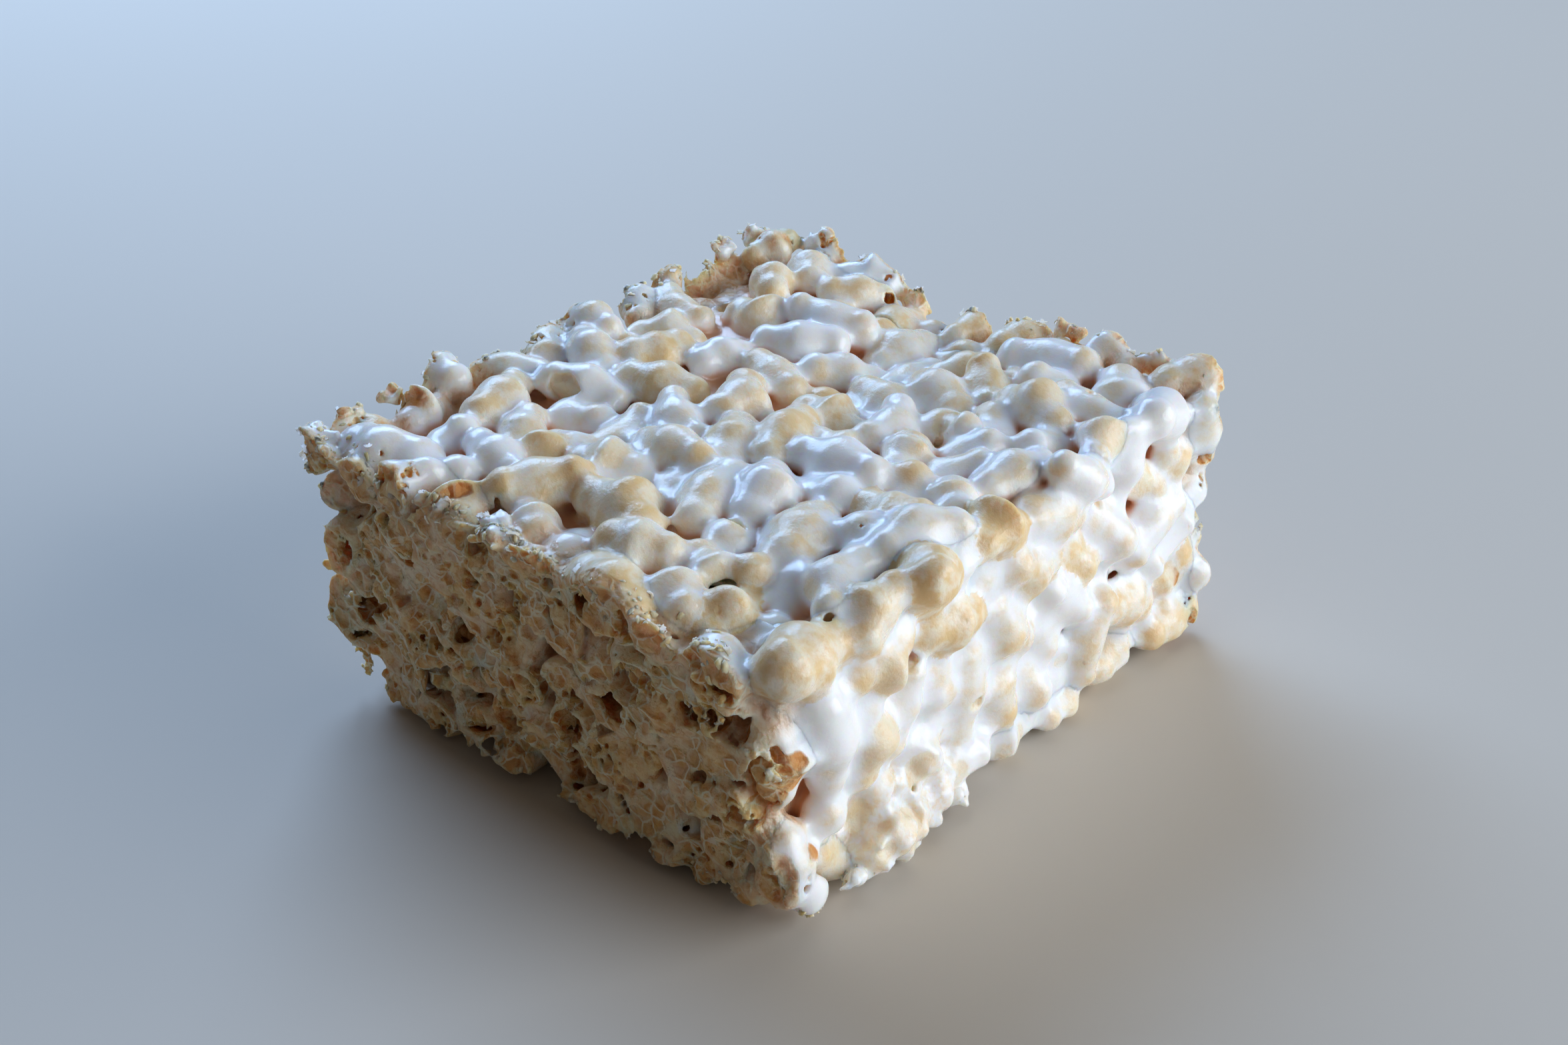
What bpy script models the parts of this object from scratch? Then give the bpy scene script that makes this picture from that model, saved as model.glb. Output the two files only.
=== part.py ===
"""A rice crispy treat: a pan-cut square of puffed rice held together by melted marshmallow.

One solid. A block that is a little smaller than the treat carries the crisps that show, at true
size and fused to it. The side at -Y lay against the pan, and the other three were cut by a knife.
Run with: blender --background --python part.py
"""

import math

import bmesh
import bpy
import numpy as np
from mathutils import Matrix, Vector

MM = 0.001

# The treat as a whole. X runs along the pan side, Y along the cut sides, and Z points up
WIDTH = 56 * MM
DEPTH = 51 * MM
HEIGHT = 25 * MM
PAN_WALL = -DEPTH / 2 + 0.9 * MM
LEAN = 0.8 * MM

# A loose crisp: half of the way between its end centres, and its radius at the middle
CRISP_HALF = (1.6 * MM, 3.0 * MM)
CRISP_RADIUS = (1.8 * MM, 2.5 * MM)
END_TAPER = (0.68, 0.95)
BEND = 0.5 * MM
CRISP_SPACE = 120 * MM**3
SPILL = 4.0 * MM
SEED = 11

# How the loose crisps are shaken down: rounds, push per round, and rounds between neighbour lists
ROUNDS = 160
PUSH = 0.42
RELIST = 16
REACH = 11.0 * MM
LIE_FLAT = 5.0 * MM
FLATTEN = 0.2
RISES = (-0.9 * MM, 0.5 * MM)
SETTLE = 0.05 * MM

# Crisps that stand out, placed by hand. From the near bottom corner of the shown sides: the middle
# along X, Y and Z, the heading from X towards Y, the rise, the length and the width
NEAR_CORNER = Vector((-WIDTH / 2, PAN_WALL, 0.0))
PLACED = (
    (9.0, 23.5, 22.9, 80, 2, 10.0, 5.4),
    (17.5, 17.0, 23.0, 25, 3, 9.0, 4.4),
    (5.2, 9.3, 21.6, 6, 0, 7.6, 3.4),
    (15.0, 11.3, 22.2, 18, 0, 9.4, 5.0),
    (21.6, 8.0, 22.6, 100, 0, 8.0, 4.6),
    (26.6, 6.0, 22.6, 40, 0, 6.4, 4.0),
    (8.2, 36.8, 23.0, 74, 2, 9.2, 4.2),
    (1.6, 33.8, 22.3, 62, 0, 7.6, 5.0),
    (3.2, 44.0, 22.6, 100, 0, 10.0, 5.4),
    (13.2, 29.4, 22.7, 112, 0, 8.6, 5.0),
    (3.6, 27.6, 22.4, 60, 0, 6.0, 4.0),
    (15.4, 44.4, 22.8, 22, 0, 10.0, 4.8),
    (10.2, 48.2, 22.6, 10, 0, 6.8, 4.2),
    (11.6, 4.8, 22.4, 20, 0, 9.4, 4.4),
    (16.9, 0.9, 22.6, 62, -12, 7.8, 5.0),
    (25.6, 1.6, 22.4, 14, -8, 8.0, 4.4),
    (29.8, 13.2, 22.4, 20, 0, 7.4, 4.2),
    (32.6, 17.2, 22.8, 14, 0, 8.6, 3.9),
    (0.8, 16.6, 22.0, 72, 0, 9.8, 5.4),
    (22.0, 24.5, 22.8, 30, 0, 8.8, 4.6),
    (27.8, 29.2, 22.9, 18, 0, 9.0, 4.8),
    (5.0, 2.2, 21.2, 6, -6, 9.6, 5.2),
    (11.6, 1.2, 18.0, 4, 8, 8.4, 4.6),
    (20.0, 1.4, 17.2, 0, -14, 8.6, 4.4),
    (2.2, 2.4, 13.8, 80, 84, 8.0, 4.6),
    (2.4, 1.8, 5.6, 60, 78, 7.0, 4.4),
    (12.6, 0.2, 2.6, 4, 0, 8.4, 3.8),
    (30.0, 1.6, 17.4, 8, -18, 9.0, 4.6),
    (21.0, 1.4, 3.4, 2, 8, 8.6, 4.0),
)

# The low places in the top: along X and Y from the near corner, the radius and the depth
DIPS = (
    (0.0, 0.0, 13.0, 2.6),
    (38.0, 21.0, 8.0, 1.7),
    (47.0, 25.0, 7.0, 1.6),
    (57.0, 29.0, 7.5, 2.8),
    (20.0, 37.0, 7.0, 0.9),
)

# The block under the crisps, and the crisps that are fused to it
CUT_INSET = 0.9 * MM
PAN_INSET = 1.8 * MM
TOP_INSET = 2.1 * MM
CORE_WAVE = 0.4 * MM
CORE_CUTS = 4
STAND_PROUD = 0.4 * MM
CRISPS_SHOWN = 270
SPREAD = 2.7 * MM
RINGS = 3
SIDES = 5
LUMP = 0.07
RING_SHARE = 0.66
RING_GIRTH = 1.2
CUT_TURN = 0.12
CUT_OUT = 0.3 * MM
CUT_IN = -0.5 * MM
FLOOR_GAP = 0.25 * MM
LEAST_CUT = 0.2 * MM

TREAT_COLOUR = (0.86, 0.76, 0.60, 1.0)


def clear_scene():
    for thing in list(bpy.data.objects):
        bpy.data.objects.remove(thing)


def lean_at(z):
    """How far the cut sides stand out at a height: the top spreads and the foot draws in."""
    return LEAN * (2 * z / HEIGHT - 1)


def top_height(x, y):
    """The height of the pressed top at x and y, which is level but for the low places."""
    height = np.full(np.shape(x), HEIGHT)
    for along, across, radius, depth in DIPS:
        far = np.hypot(x - NEAR_CORNER.x - along * MM, y - NEAR_CORNER.y - across * MM)
        height = height - depth * MM * np.exp(-((far / (radius * MM)) ** 2))
    return height


def placed_crisps():
    """The crisps placed by hand: their middles, half lengths as vectors, and radii."""
    middles, halves, radii = [], [], []
    for x, y, z, heading, rise, length, width in PLACED:
        middles.append(NEAR_CORNER + Vector((x, y, z)) * MM)
        level = math.cos(math.radians(rise))
        way = Vector((
            level * math.cos(math.radians(heading)),
            level * math.sin(math.radians(heading)),
            math.sin(math.radians(rise)),
        ))
        halves.append(way * (length - width) / 2 * MM)
        radii.append(width / 2 * MM)
    return np.array(middles), np.array(halves), np.array(radii)


def scattered_crisps(rng):
    """Loose crisps thrown at random into the block and a little past its cut sides."""
    low = np.array((-WIDTH / 2 - SPILL, PAN_WALL, 0.0))
    high = np.array((WIDTH / 2 + SPILL, DEPTH / 2 + SPILL, HEIGHT))
    count = int(np.prod(high - low) / CRISP_SPACE)
    middles = rng.uniform(low, high, (count, 3))
    ways = rng.normal(size=(count, 3))
    near_face = np.minimum(HEIGHT - middles[:, 2], middles[:, 2]) < LIE_FLAT
    ways[near_face, 2] *= FLATTEN
    near_pan = middles[:, 1] - PAN_WALL < LIE_FLAT
    ways[near_pan, 1] *= FLATTEN
    ways /= np.linalg.norm(ways, axis=1, keepdims=True)
    halves = ways * rng.uniform(*CRISP_HALF, (count, 1))
    return middles, halves, rng.uniform(*CRISP_RADIUS, count)


def pack_crisps():
    """Shakes the loose crisps down round the placed ones, each as a row of three balls."""
    rng = np.random.default_rng(SEED)
    set_middles, set_halves, set_radii = placed_crisps()
    loose_middles, loose_halves, loose_radii = scattered_crisps(rng)
    fixed = len(set_radii)
    middles = np.concatenate((set_middles, loose_middles))
    halves = np.concatenate((set_halves, loose_halves))
    radii = np.concatenate((set_radii, loose_radii))
    count = len(radii)
    lengths = np.linalg.norm(halves, axis=1)
    tapers = rng.uniform(*END_TAPER, (count, 2))
    rises = rng.uniform(*RISES, count)
    balls = np.stack((radii * tapers[:, 0], radii, radii * tapers[:, 1]), axis=1)
    steps = np.array((-1.0, 0.0, 1.0))
    for turn in range(ROUNDS):
        if turn % RELIST == 0:
            gaps = np.linalg.norm(middles[:, None] - middles[None], axis=2)
            first, second = np.nonzero(np.triu(gaps < REACH, 1))
        spots = middles[:, None] + steps[None, :, None] * halves[:, None]
        away = spots[first][:, :, None] - spots[second][:, None]
        far = np.linalg.norm(away, axis=3) + 1e-9
        press = balls[first][:, :, None] + balls[second][:, None] - far
        press = np.maximum(press, 0.0)[..., None] * away / far[..., None]
        push = np.zeros((count, 3, 3))
        np.add.at(push, first, press.sum(axis=2) * PUSH)
        np.add.at(push, second, press.sum(axis=1) * -PUSH)
        ceiling = top_height(spots[..., 0], spots[..., 1]) + rises[:, None]
        push[..., 2] += np.minimum(ceiling - balls - spots[..., 2], 0.0)
        push[..., 2] += np.maximum(balls - spots[..., 2], 0.0)
        wall = PAN_WALL - rises[:, None]
        push[..., 1] += np.maximum(wall + balls - spots[..., 1], 0.0)
        near_top = HEIGHT - middles[:, 2] < LIE_FLAT
        push[near_top, :, 2] += SETTLE
        near_pan = middles[:, 1] - PAN_WALL < LIE_FLAT
        push[near_pan, :, 1] -= SETTLE
        push[:fixed] = 0.0
        middles = middles + push.mean(axis=1)
        halves = halves + (push[:, 2] - push[:, 0]) / 2
        halves *= (lengths / np.linalg.norm(halves, axis=1))[:, None]
    return np.round(middles, 6), np.round(halves, 6), np.round(balls, 6)


def crisp_frame(half):
    """The axes of a crisp with its length along X."""
    along = Vector(half).normalized()
    side = along.cross(Vector((0, 0, 1)))
    if side.length < 0.1:
        side = along.cross(Vector((0, 1, 0)))
    side.normalize()
    return Matrix((along, side, along.cross(side))).transposed()


def crisp_mesh(middle, half, balls, rng):
    """One few-sided crisp, lumpy and slightly bent, in its place in the treat."""
    mesh = bmesh.new()
    bmesh.ops.create_uvsphere(mesh, u_segments=SIDES, v_segments=RINGS, radius=1.0)
    bmesh.ops.rotate(mesh, verts=mesh.verts, matrix=Matrix.Rotation(math.pi / 2, 3, "Y"))
    reach = Vector(half).length
    turn = crisp_frame(half) @ Matrix.Rotation(rng.uniform(0, math.tau), 3, "X")
    bend = rng.uniform(-BEND, BEND)
    for vert in mesh.verts:
        side = 1 if vert.co.x > 0 else -1
        end = balls[1 + side]
        share = 1.0 if abs(vert.co.x) > RING_SHARE + 0.1 else RING_SHARE
        girth = (balls[1] + end) / 2 * RING_GIRTH * (1 + rng.uniform(-LUMP, LUMP))
        place = Vector((side * (reach + end) * share, vert.co.y * girth, vert.co.z * girth))
        place.z -= bend * share
        vert.co = Vector(middle) + turn @ place
    return mesh


def slice_off(mesh, point, outward):
    """Cuts away what lies past a plane and closes the cut."""
    bmesh.ops.bisect_plane(
        mesh,
        geom=mesh.verts[:] + mesh.edges[:] + mesh.faces[:],
        plane_co=point,
        plane_no=outward,
        clear_outer=True,
    )
    rim = [edge for edge in mesh.edges if edge.is_boundary]
    if rim:
        bmesh.ops.holes_fill(mesh, edges=rim)


def furthest(mesh, outward):
    return max(vert.co.dot(outward) for vert in mesh.verts)


def trim_to_cuts(mesh, rng):
    """Cuts a crisp where the knife passed, a little unevenly, and keeps it off the floor."""
    knife_sides = (
        (Vector((-1, 0, 0)), WIDTH / 2),
        (Vector((1, 0, 0)), WIDTH / 2),
        (Vector((0, 1, 0)), DEPTH / 2),
    )
    for outward, reach in knife_sides:
        turn = Vector(rng.uniform(-CUT_TURN, CUT_TURN, 3))
        plane = (outward + turn - outward * turn.dot(outward)).normalized()
        middle = sum((vert.co for vert in mesh.verts), Vector()) / len(mesh.verts)
        cut = reach + lean_at(middle.z) + rng.uniform(CUT_IN, CUT_OUT)
        if furthest(mesh, outward) > cut + LEAST_CUT:
            point = middle - outward * (middle.dot(outward) - cut)
            slice_off(mesh, point, plane)
        if not mesh.verts:
            return False
    lift = FLOOR_GAP + furthest(mesh, Vector((0, 0, -1)))
    if lift > 0:
        bmesh.ops.translate(mesh, verts=mesh.verts, vec=(0, 0, lift))
    return True


def core_faces():
    """How far the block under the crisps reaches: its lowest and its highest corner."""
    low = Vector((-WIDTH / 2 + CUT_INSET, PAN_WALL + PAN_INSET, 0.0))
    high = Vector((WIDTH / 2 - CUT_INSET, DEPTH / 2 - CUT_INSET, HEIGHT - TOP_INSET))
    return low, high


def stand_out(mesh):
    """How far a crisp stands out of the block under it, and its corner that does so most."""
    low, high = core_faces()
    best, where = 0.0, None
    for vert in mesh.verts:
        ceiling = float(top_height(vert.co.x, vert.co.y)) - TOP_INSET
        lean = lean_at(vert.co.z)
        past = max(
            vert.co.x - high.x - lean,
            low.x - lean - vert.co.x,
            vert.co.y - high.y - lean,
            low.y - vert.co.y,
            vert.co.z - ceiling,
        )
        if past > best:
            best, where = past, vert.co.copy()
    return best, where


def make_core(collection, material):
    """The block under the crisps: a wavy top, uneven leaning sides and a flat underside."""
    low, high = core_faces()
    mesh = bmesh.new()
    bmesh.ops.create_cube(mesh, size=1.0)
    bmesh.ops.scale(mesh, verts=mesh.verts, vec=high - low)
    bmesh.ops.translate(mesh, verts=mesh.verts, vec=(low + high) / 2)
    bmesh.ops.subdivide_edges(mesh, edges=mesh.edges[:], cuts=CORE_CUTS, use_grid_fill=True)
    rng = np.random.default_rng(SEED + 1)
    for vert in mesh.verts:
        wave = Vector(rng.uniform(-CORE_WAVE, CORE_WAVE, 3))
        share = vert.co.z / high.z
        lean = lean_at(vert.co.z)
        vert.co.x += lean * vert.co.x / high.x
        vert.co.y += lean * max(vert.co.y, 0.0) / high.y
        if share > 0:
            drop = HEIGHT - float(top_height(vert.co.x, vert.co.y))
            vert.co += wave
            vert.co.z -= drop * share
    return add_object("treat", mesh, collection, material)


def add_object(name, mesh, collection, material):
    bmesh.ops.triangulate(mesh, faces=mesh.faces[:])
    bmesh.ops.recalc_face_normals(mesh, faces=mesh.faces[:])
    data = bpy.data.meshes.new(name)
    mesh.to_mesh(data)
    mesh.free()
    data.materials.append(material)
    thing = bpy.data.objects.new(name, data)
    collection.objects.link(thing)
    return thing


def new_collection(name):
    collection = bpy.data.collections.new(name)
    bpy.context.scene.collection.children.link(collection)
    return collection


def treat_material():
    material = bpy.data.materials.new("marshmallow_and_rice")
    material.use_nodes = True
    shader = material.node_tree.nodes["Principled BSDF"]
    shader.inputs["Base Color"].default_value = TREAT_COLOUR
    shader.inputs["Roughness"].default_value = 0.4
    shader.inputs["Metallic"].default_value = 0.0
    return material


def shown_crisps():
    """The crisps that show: those that stand out most, spread evenly over the faces."""
    middles, halves, balls = pack_crisps()
    rng = np.random.default_rng(SEED + 2)
    found = []
    for middle, half, row in zip(middles, halves, balls):
        mesh = crisp_mesh(middle, half, row, rng)
        shown, where = stand_out(mesh) if trim_to_cuts(mesh, rng) else (0.0, None)
        if shown > STAND_PROUD:
            found.append((shown, where, mesh))
        else:
            mesh.free()
    found.sort(key=lambda entry: -entry[0])
    chosen, spots = [], []
    for _, where, mesh in found:
        apart = min(((where - spot).length for spot in spots), default=SPREAD)
        if apart >= SPREAD and len(chosen) < CRISPS_SHOWN:
            chosen.append(mesh)
            spots.append(where)
        else:
            mesh.free()
    print("crisps that show:", len(found), "and fused:", len(chosen))
    return chosen


def fuse(core, crisps, collection, material):
    """Joins every crisp to the block in one solid, then drops the loose copies."""
    for number, mesh in enumerate(crisps):
        add_object(f"crisp_{number:03d}", mesh, collection, material)
    union = core.modifiers.new("crisps", "BOOLEAN")
    union.operation = "UNION"
    union.operand_type = "COLLECTION"
    union.collection = collection
    union.solver = "MANIFOLD"
    fused = bpy.data.meshes.new_from_object(
        core.evaluated_get(bpy.context.evaluated_depsgraph_get())
    )
    core.modifiers.remove(union)
    core.data = fused
    for thing in list(collection.objects):
        bpy.data.objects.remove(thing)
    bpy.data.collections.remove(collection)


def drop_inner_shells(thing):
    """Keeps only the outermost body, so sealed hollows are filled and loose scraps go."""
    mesh = bmesh.new()
    mesh.from_mesh(thing.data)
    left = set(mesh.verts)
    bodies = []
    while left:
        body = {left.pop()}
        edge_of_body = list(body)
        while edge_of_body:
            vert = edge_of_body.pop()
            for edge in vert.link_edges:
                other = edge.other_vert(vert)
                if other in left:
                    left.discard(other)
                    body.add(other)
                    edge_of_body.append(other)
        bodies.append(body)
    bodies.sort(key=len)
    for body in bodies[:-1]:
        bmesh.ops.delete(mesh, geom=list(body), context="VERTS")
    mesh.to_mesh(thing.data)
    mesh.free()


def main():
    clear_scene()
    material = treat_material()
    treat = make_core(new_collection("rice_crispy_treat"), material)
    fuse(treat, shown_crisps(), new_collection("loose_crisps"), material)
    drop_inner_shells(treat)
    print("triangles:", sum(len(face.vertices) - 2 for face in treat.data.polygons))


main()
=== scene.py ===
"""The looks of a rice crispy treat: puffed rice bound with marshmallow, cut from a pan.

The crisps are packed by the same rule as in the solid model. A fine field of voxels then gives
them their marshmallow film, the knife cuts and the open cells inside the cut crisps, and each
face of the treat is meshed from it. Torn crumbs and flakes cling to the edges of the cuts.
"""

import math

import bmesh
import bpy
import numpy as np
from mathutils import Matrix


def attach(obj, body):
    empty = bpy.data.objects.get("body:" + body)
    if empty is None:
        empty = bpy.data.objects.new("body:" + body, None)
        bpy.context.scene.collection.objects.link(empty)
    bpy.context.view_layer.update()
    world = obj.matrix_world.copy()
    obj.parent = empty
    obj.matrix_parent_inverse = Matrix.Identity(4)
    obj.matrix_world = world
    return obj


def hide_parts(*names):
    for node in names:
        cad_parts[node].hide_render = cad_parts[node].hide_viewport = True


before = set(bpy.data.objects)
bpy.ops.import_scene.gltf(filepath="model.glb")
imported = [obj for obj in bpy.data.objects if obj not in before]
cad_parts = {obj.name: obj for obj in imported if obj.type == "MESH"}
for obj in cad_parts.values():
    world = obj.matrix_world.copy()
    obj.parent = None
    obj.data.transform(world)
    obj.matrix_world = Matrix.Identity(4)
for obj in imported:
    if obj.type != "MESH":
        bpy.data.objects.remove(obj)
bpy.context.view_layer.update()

import openvdb
from bpy.props import FloatProperty, FloatVectorProperty, IntProperty, PointerProperty
from mathutils import Matrix, Vector
from mathutils.bvhtree import BVHTree

bl_info = {
    "name": "Rice crispy treat",
    "version": (1, 0, 0),
    "blender": (4, 5, 0),
    "location": "View3D > Sidebar > Treat",
    "description": "Models a pan-cut treat of puffed rice and marshmallow",
    "category": "Object",
}

MM = 0.001

# The treat as a whole, as in the solid model. X runs along the pan side, Y along the cut sides
WIDTH = 56 * MM
DEPTH = 51 * MM
HEIGHT = 25 * MM
PAN_WALL = -DEPTH / 2 + 0.9 * MM
LEAN = 0.8 * MM

# A loose crisp: half of the way between its end centres, and its radius at the middle
CRISP_HALF = (1.6 * MM, 3.0 * MM)
CRISP_RADIUS = (1.8 * MM, 2.5 * MM)
END_TAPER = (0.68, 0.95)
BEND = 0.5 * MM
CRISP_SPACE = 120 * MM**3
SPILL = 4.0 * MM
SEED = 11

# How the loose crisps are shaken down: rounds, push per round, and rounds between neighbour lists
ROUNDS = 160
PUSH = 0.42
RELIST = 16
REACH = 11.0 * MM
LIE_FLAT = 5.0 * MM
FLATTEN = 0.2
RISES = (-0.9 * MM, 0.5 * MM)
SETTLE = 0.05 * MM

# Crisps that stand out, placed one by one. From the near bottom corner of the shown sides: the middle
# along X, Y and Z, the heading from X towards Y, the rise, the length and the width
NEAR_CORNER = Vector((-WIDTH / 2, PAN_WALL, 0.0))
PLACED = (
    (9.0, 23.5, 22.9, 80, 2, 10.0, 5.4),
    (17.5, 17.0, 23.0, 25, 3, 9.0, 4.4),
    (5.2, 9.3, 21.6, 6, 0, 7.6, 3.4),
    (15.0, 11.3, 22.2, 18, 0, 9.4, 5.0),
    (21.6, 8.0, 22.6, 100, 0, 8.0, 4.6),
    (26.6, 6.0, 22.6, 40, 0, 6.4, 4.0),
    (8.2, 36.8, 23.0, 74, 2, 9.2, 4.2),
    (1.6, 33.8, 22.3, 62, 0, 7.6, 5.0),
    (3.2, 44.0, 22.6, 100, 0, 10.0, 5.4),
    (13.2, 29.4, 22.7, 112, 0, 8.6, 5.0),
    (3.6, 27.6, 22.4, 60, 0, 6.0, 4.0),
    (15.4, 44.4, 22.8, 22, 0, 10.0, 4.8),
    (10.2, 48.2, 22.6, 10, 0, 6.8, 4.2),
    (11.6, 4.8, 22.4, 20, 0, 9.4, 4.4),
    (16.9, 0.9, 22.6, 62, -12, 7.8, 5.0),
    (25.6, 1.6, 22.4, 14, -8, 8.0, 4.4),
    (29.8, 13.2, 22.4, 20, 0, 7.4, 4.2),
    (32.6, 17.2, 22.8, 14, 0, 8.6, 3.9),
    (0.8, 16.6, 22.0, 72, 0, 9.8, 5.4),
    (22.0, 24.5, 22.8, 30, 0, 8.8, 4.6),
    (27.8, 29.2, 22.9, 18, 0, 9.0, 4.8),
    (5.0, 2.2, 21.2, 6, -6, 9.6, 5.2),
    (11.6, 1.2, 18.0, 4, 8, 8.4, 4.6),
    (20.0, 1.4, 17.2, 0, -14, 8.6, 4.4),
    (2.2, 2.4, 13.8, 80, 84, 8.0, 4.6),
    (2.4, 1.8, 5.6, 60, 78, 7.0, 4.4),
    (12.6, 0.2, 2.6, 4, 0, 8.4, 3.8),
    (30.0, 1.6, 17.4, 8, -18, 9.0, 4.6),
    (21.0, 1.4, 3.4, 2, 8, 8.6, 4.0),
)

# The placed crisps that show through their film, by their place in the list, and how much
BARE_CRISPS = {0: 1.1, 2: 1.5, 4: 1.1, 14: 1.7, 15: 1.3, 18: 1.2, 21: 1.1, 23: 1.2}

# The low places in the top: along X and Y from the near corner, the radius and the depth
DIPS = (
    (0.0, 0.0, 13.0, 2.6),
    (38.0, 21.0, 8.0, 1.7),
    (47.0, 25.0, 7.0, 1.6),
    (57.0, 29.0, 7.5, 2.8),
    (20.0, 37.0, 7.0, 0.9),
)

# How softly one shape runs into another
SOFT = {
    "core": 0.8 * MM,
    "blob": 0.6 * MM,
    "web hollow": 0.5 * MM,
    "web": 0.3 * MM,
    "web hole": 0.12 * MM,
    "cell": 0.12 * MM,
    "knife": 0.06 * MM,
    "hole": 0.25 * MM,
    "tuft": 0.2 * MM,
    "foot": 0.4 * MM,
}

# The random waves in the film and the cuts: how long each is, and the seed that it is drawn from
WAVES = {
    "lumps": (1.9 * MM, 1),
    "fine lumps": (0.9 * MM, 2),
    "wet": (4.5 * MM, 3),
    "torn": (1.0 * MM, 4),
    "cell walls": (1.6 * MM, 5),
    "knife": (3.0 * MM, 6),
    "finely torn": (0.55 * MM, 7),
    "foot": (3.5 * MM, 8),
    "crumbly edge": (3.0 * MM, 9),
    "crumbly": (0.8 * MM, 10),
}
WAVE_SPREAD = 0.33

# How much slimmer the ends of a crisp are here than in the packing, with its tips kept in place,
# and how much fuller its middle is
SLIM_ENDS = 0.92
FULL_MIDDLE = 1.06

# The voxels: how far out from a crisp its distance is kept, the room round the treat, how deep
# under a face its crisps are laid, and how deep the filled core starts
MARGIN = 2.6 * MM
ROOM = 3.0 * MM
SHELL = 7.5 * MM
CORE_DEPTH = 3.4 * MM

# The film's smaller details: how much slimmer the crisps are under it, how soft its creases are,
# and how high its lumps
SLIM = 0.12 * MM
CREASE = 0.13 * MM
LUMPS = 0.035 * MM
FINE_LUMPS = 0.025 * MM

# How thin and thick the film may be, how deep under the top and pan side and under a cut it lies
# (none of it, all of it), and below what depth under the top the cut's own film starts
FILM_LIMITS = (0.05 * MM, 0.5 * MM)
OUTER_FILM_DEPTH = (3.2 * MM, 1.2 * MM)
CUT_FILM_DEPTH = (4.0 * MM, 2.0 * MM)
CUT_FILM_TOP = (1.0 * MM, 2.5 * MM)

# The share of the wide gaps that film fills, and how much more where it is wet
TOP_FILM = (0.03, 0.32)
PAN_FILM = (0.84, 0.15)
CUT_FILM = (0.35, 0.3)
MOST_FILLED = 0.92
MIDDLE_FILLED = 0.9

# Where the pan side is crumbly: its middle from the near corner and its reach, how softly it
# starts and how much its edge strays, and how rough it is
CRUMBLY = (15.0, 0.0, 2.0)
CRUMBLY_REACH = (12.0, 6.0, 8.0)
CRUMBLY_EDGE = 4 * MM
CRUMBLY_STRAY = 1 * MM
CRUMBLY_ROUGH = 0.22 * MM

# The cuts' smaller details: how wavy and torn they are, how much the cells differ in size, how
# thick and uneven their walls, how thick the skins, how deep the cells open, how thick a hollow
# crisp's wall is and how deep it opens, and how far a hole may bite into a crisp
CUT_WAVE = 0.28 * MM
TEAR = 0.13 * MM
CELL_UNEVEN = (0.65, 1.5)
CELL_WALL = 0.13 * MM
WALL_UNEVEN = 0.8
CELL_SKIN = 0.10 * MM
FILM_WALL = 0.50 * MM
CELL_DEPTH = 2.4 * MM
HOLLOW_WALL = 0.50 * MM
HOLLOW_DEPTH = 3.5 * MM
HOLE_BITE = 0.3 * MM

# How thick the closed crust along the near part of the top edges is, and how far back it goes
CRUST = 1.9 * MM
CRUST_END = 27 * MM

# Holes that show, and bits that stand out. From the near bottom corner of the shown sides: the
# middle along X, Y and Z, and half the size along each
HOLES = (
    (17.4, 6.6, 21.6, 0.9, 2.0, 2.6),
    (22.0, 2.2, 21.2, 1.6, 0.9, 2.2),
    (7.6, 2.6, 21.2, 1.3, 0.8, 1.6),
    (3.9, 31.3, 21.8, 0.8, 0.8, 2.2),
    (19.6, 41.0, 22.6, 0.8, 1.6, 2.2),
    (27.4, 12.8, 22.2, 1.3, 0.6, 2.0),
    (36.0, 13.6, 22.4, 1.8, 0.7, 2.0),
    (46.6, 6.6, 22.4, 1.2, 0.8, 2.2),
    (44.0, 45.0, 23.0, 1.4, 0.8, 2.0),
    (12.2, 15.8, 21.8, 0.6, 1.5, 1.8),
    (14.4, 0.6, 16.3, 1.2, 2.0, 0.8),
    (22.4, 0.0, 9.0, 0.3, 1.2, 0.3),
    (40.0, 0.2, 18.6, 0.5, 2.0, 0.4),
    (10.2, -0.4, 9.0, 0.3, 0.9, 0.35),
    (15.0, -0.4, 5.0, 0.3, 0.8, 0.25),
    (8.4, -0.4, 4.2, 0.35, 0.8, 0.3),
    (0.2, 27.0, 18.0, 2.2, 1.1, 1.6),
    (0.2, 22.0, 18.4, 2.4, 1.3, 1.0),
    (0.2, 38.0, 18.0, 2.0, 1.2, 1.0),
    (0.2, 13.0, 9.0, 2.6, 1.4, 1.2),
    (0.2, 8.0, 9.6, 2.4, 0.8, 1.6),
    (0.2, 22.4, 5.0, 2.2, 1.6, 1.2),
    (0.2, 33.0, 12.6, 1.8, 1.0, 0.9),
    (0.2, 44.0, 10.0, 1.8, 1.2, 1.0),
    (0.4, 5.0, 16.6, 2.0, 1.8, 1.3),
    (0.6, 2.4, 12.6, 1.6, 1.2, 2.6),
    (0.2, 17.6, 13.0, 2.0, 0.9, 0.8),
)
BLOBS = (
    (1.9, 0.9, 4.6, 1.9, 1.6, 2.9),
    (3.4, 0.5, 2.4, 1.6, 1.3, 1.6),
    (6.5, 31.0, 21.6, 1.3, 1.3, 1.1),
    (15.0, 20.0, 22.4, 1.1, 1.0, 1.0),
    (19.4, 21.6, 22.5, 1.0, 1.1, 1.1),
    (14.0, 34.6, 22.6, 1.6, 1.3, 1.1),
)
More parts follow.
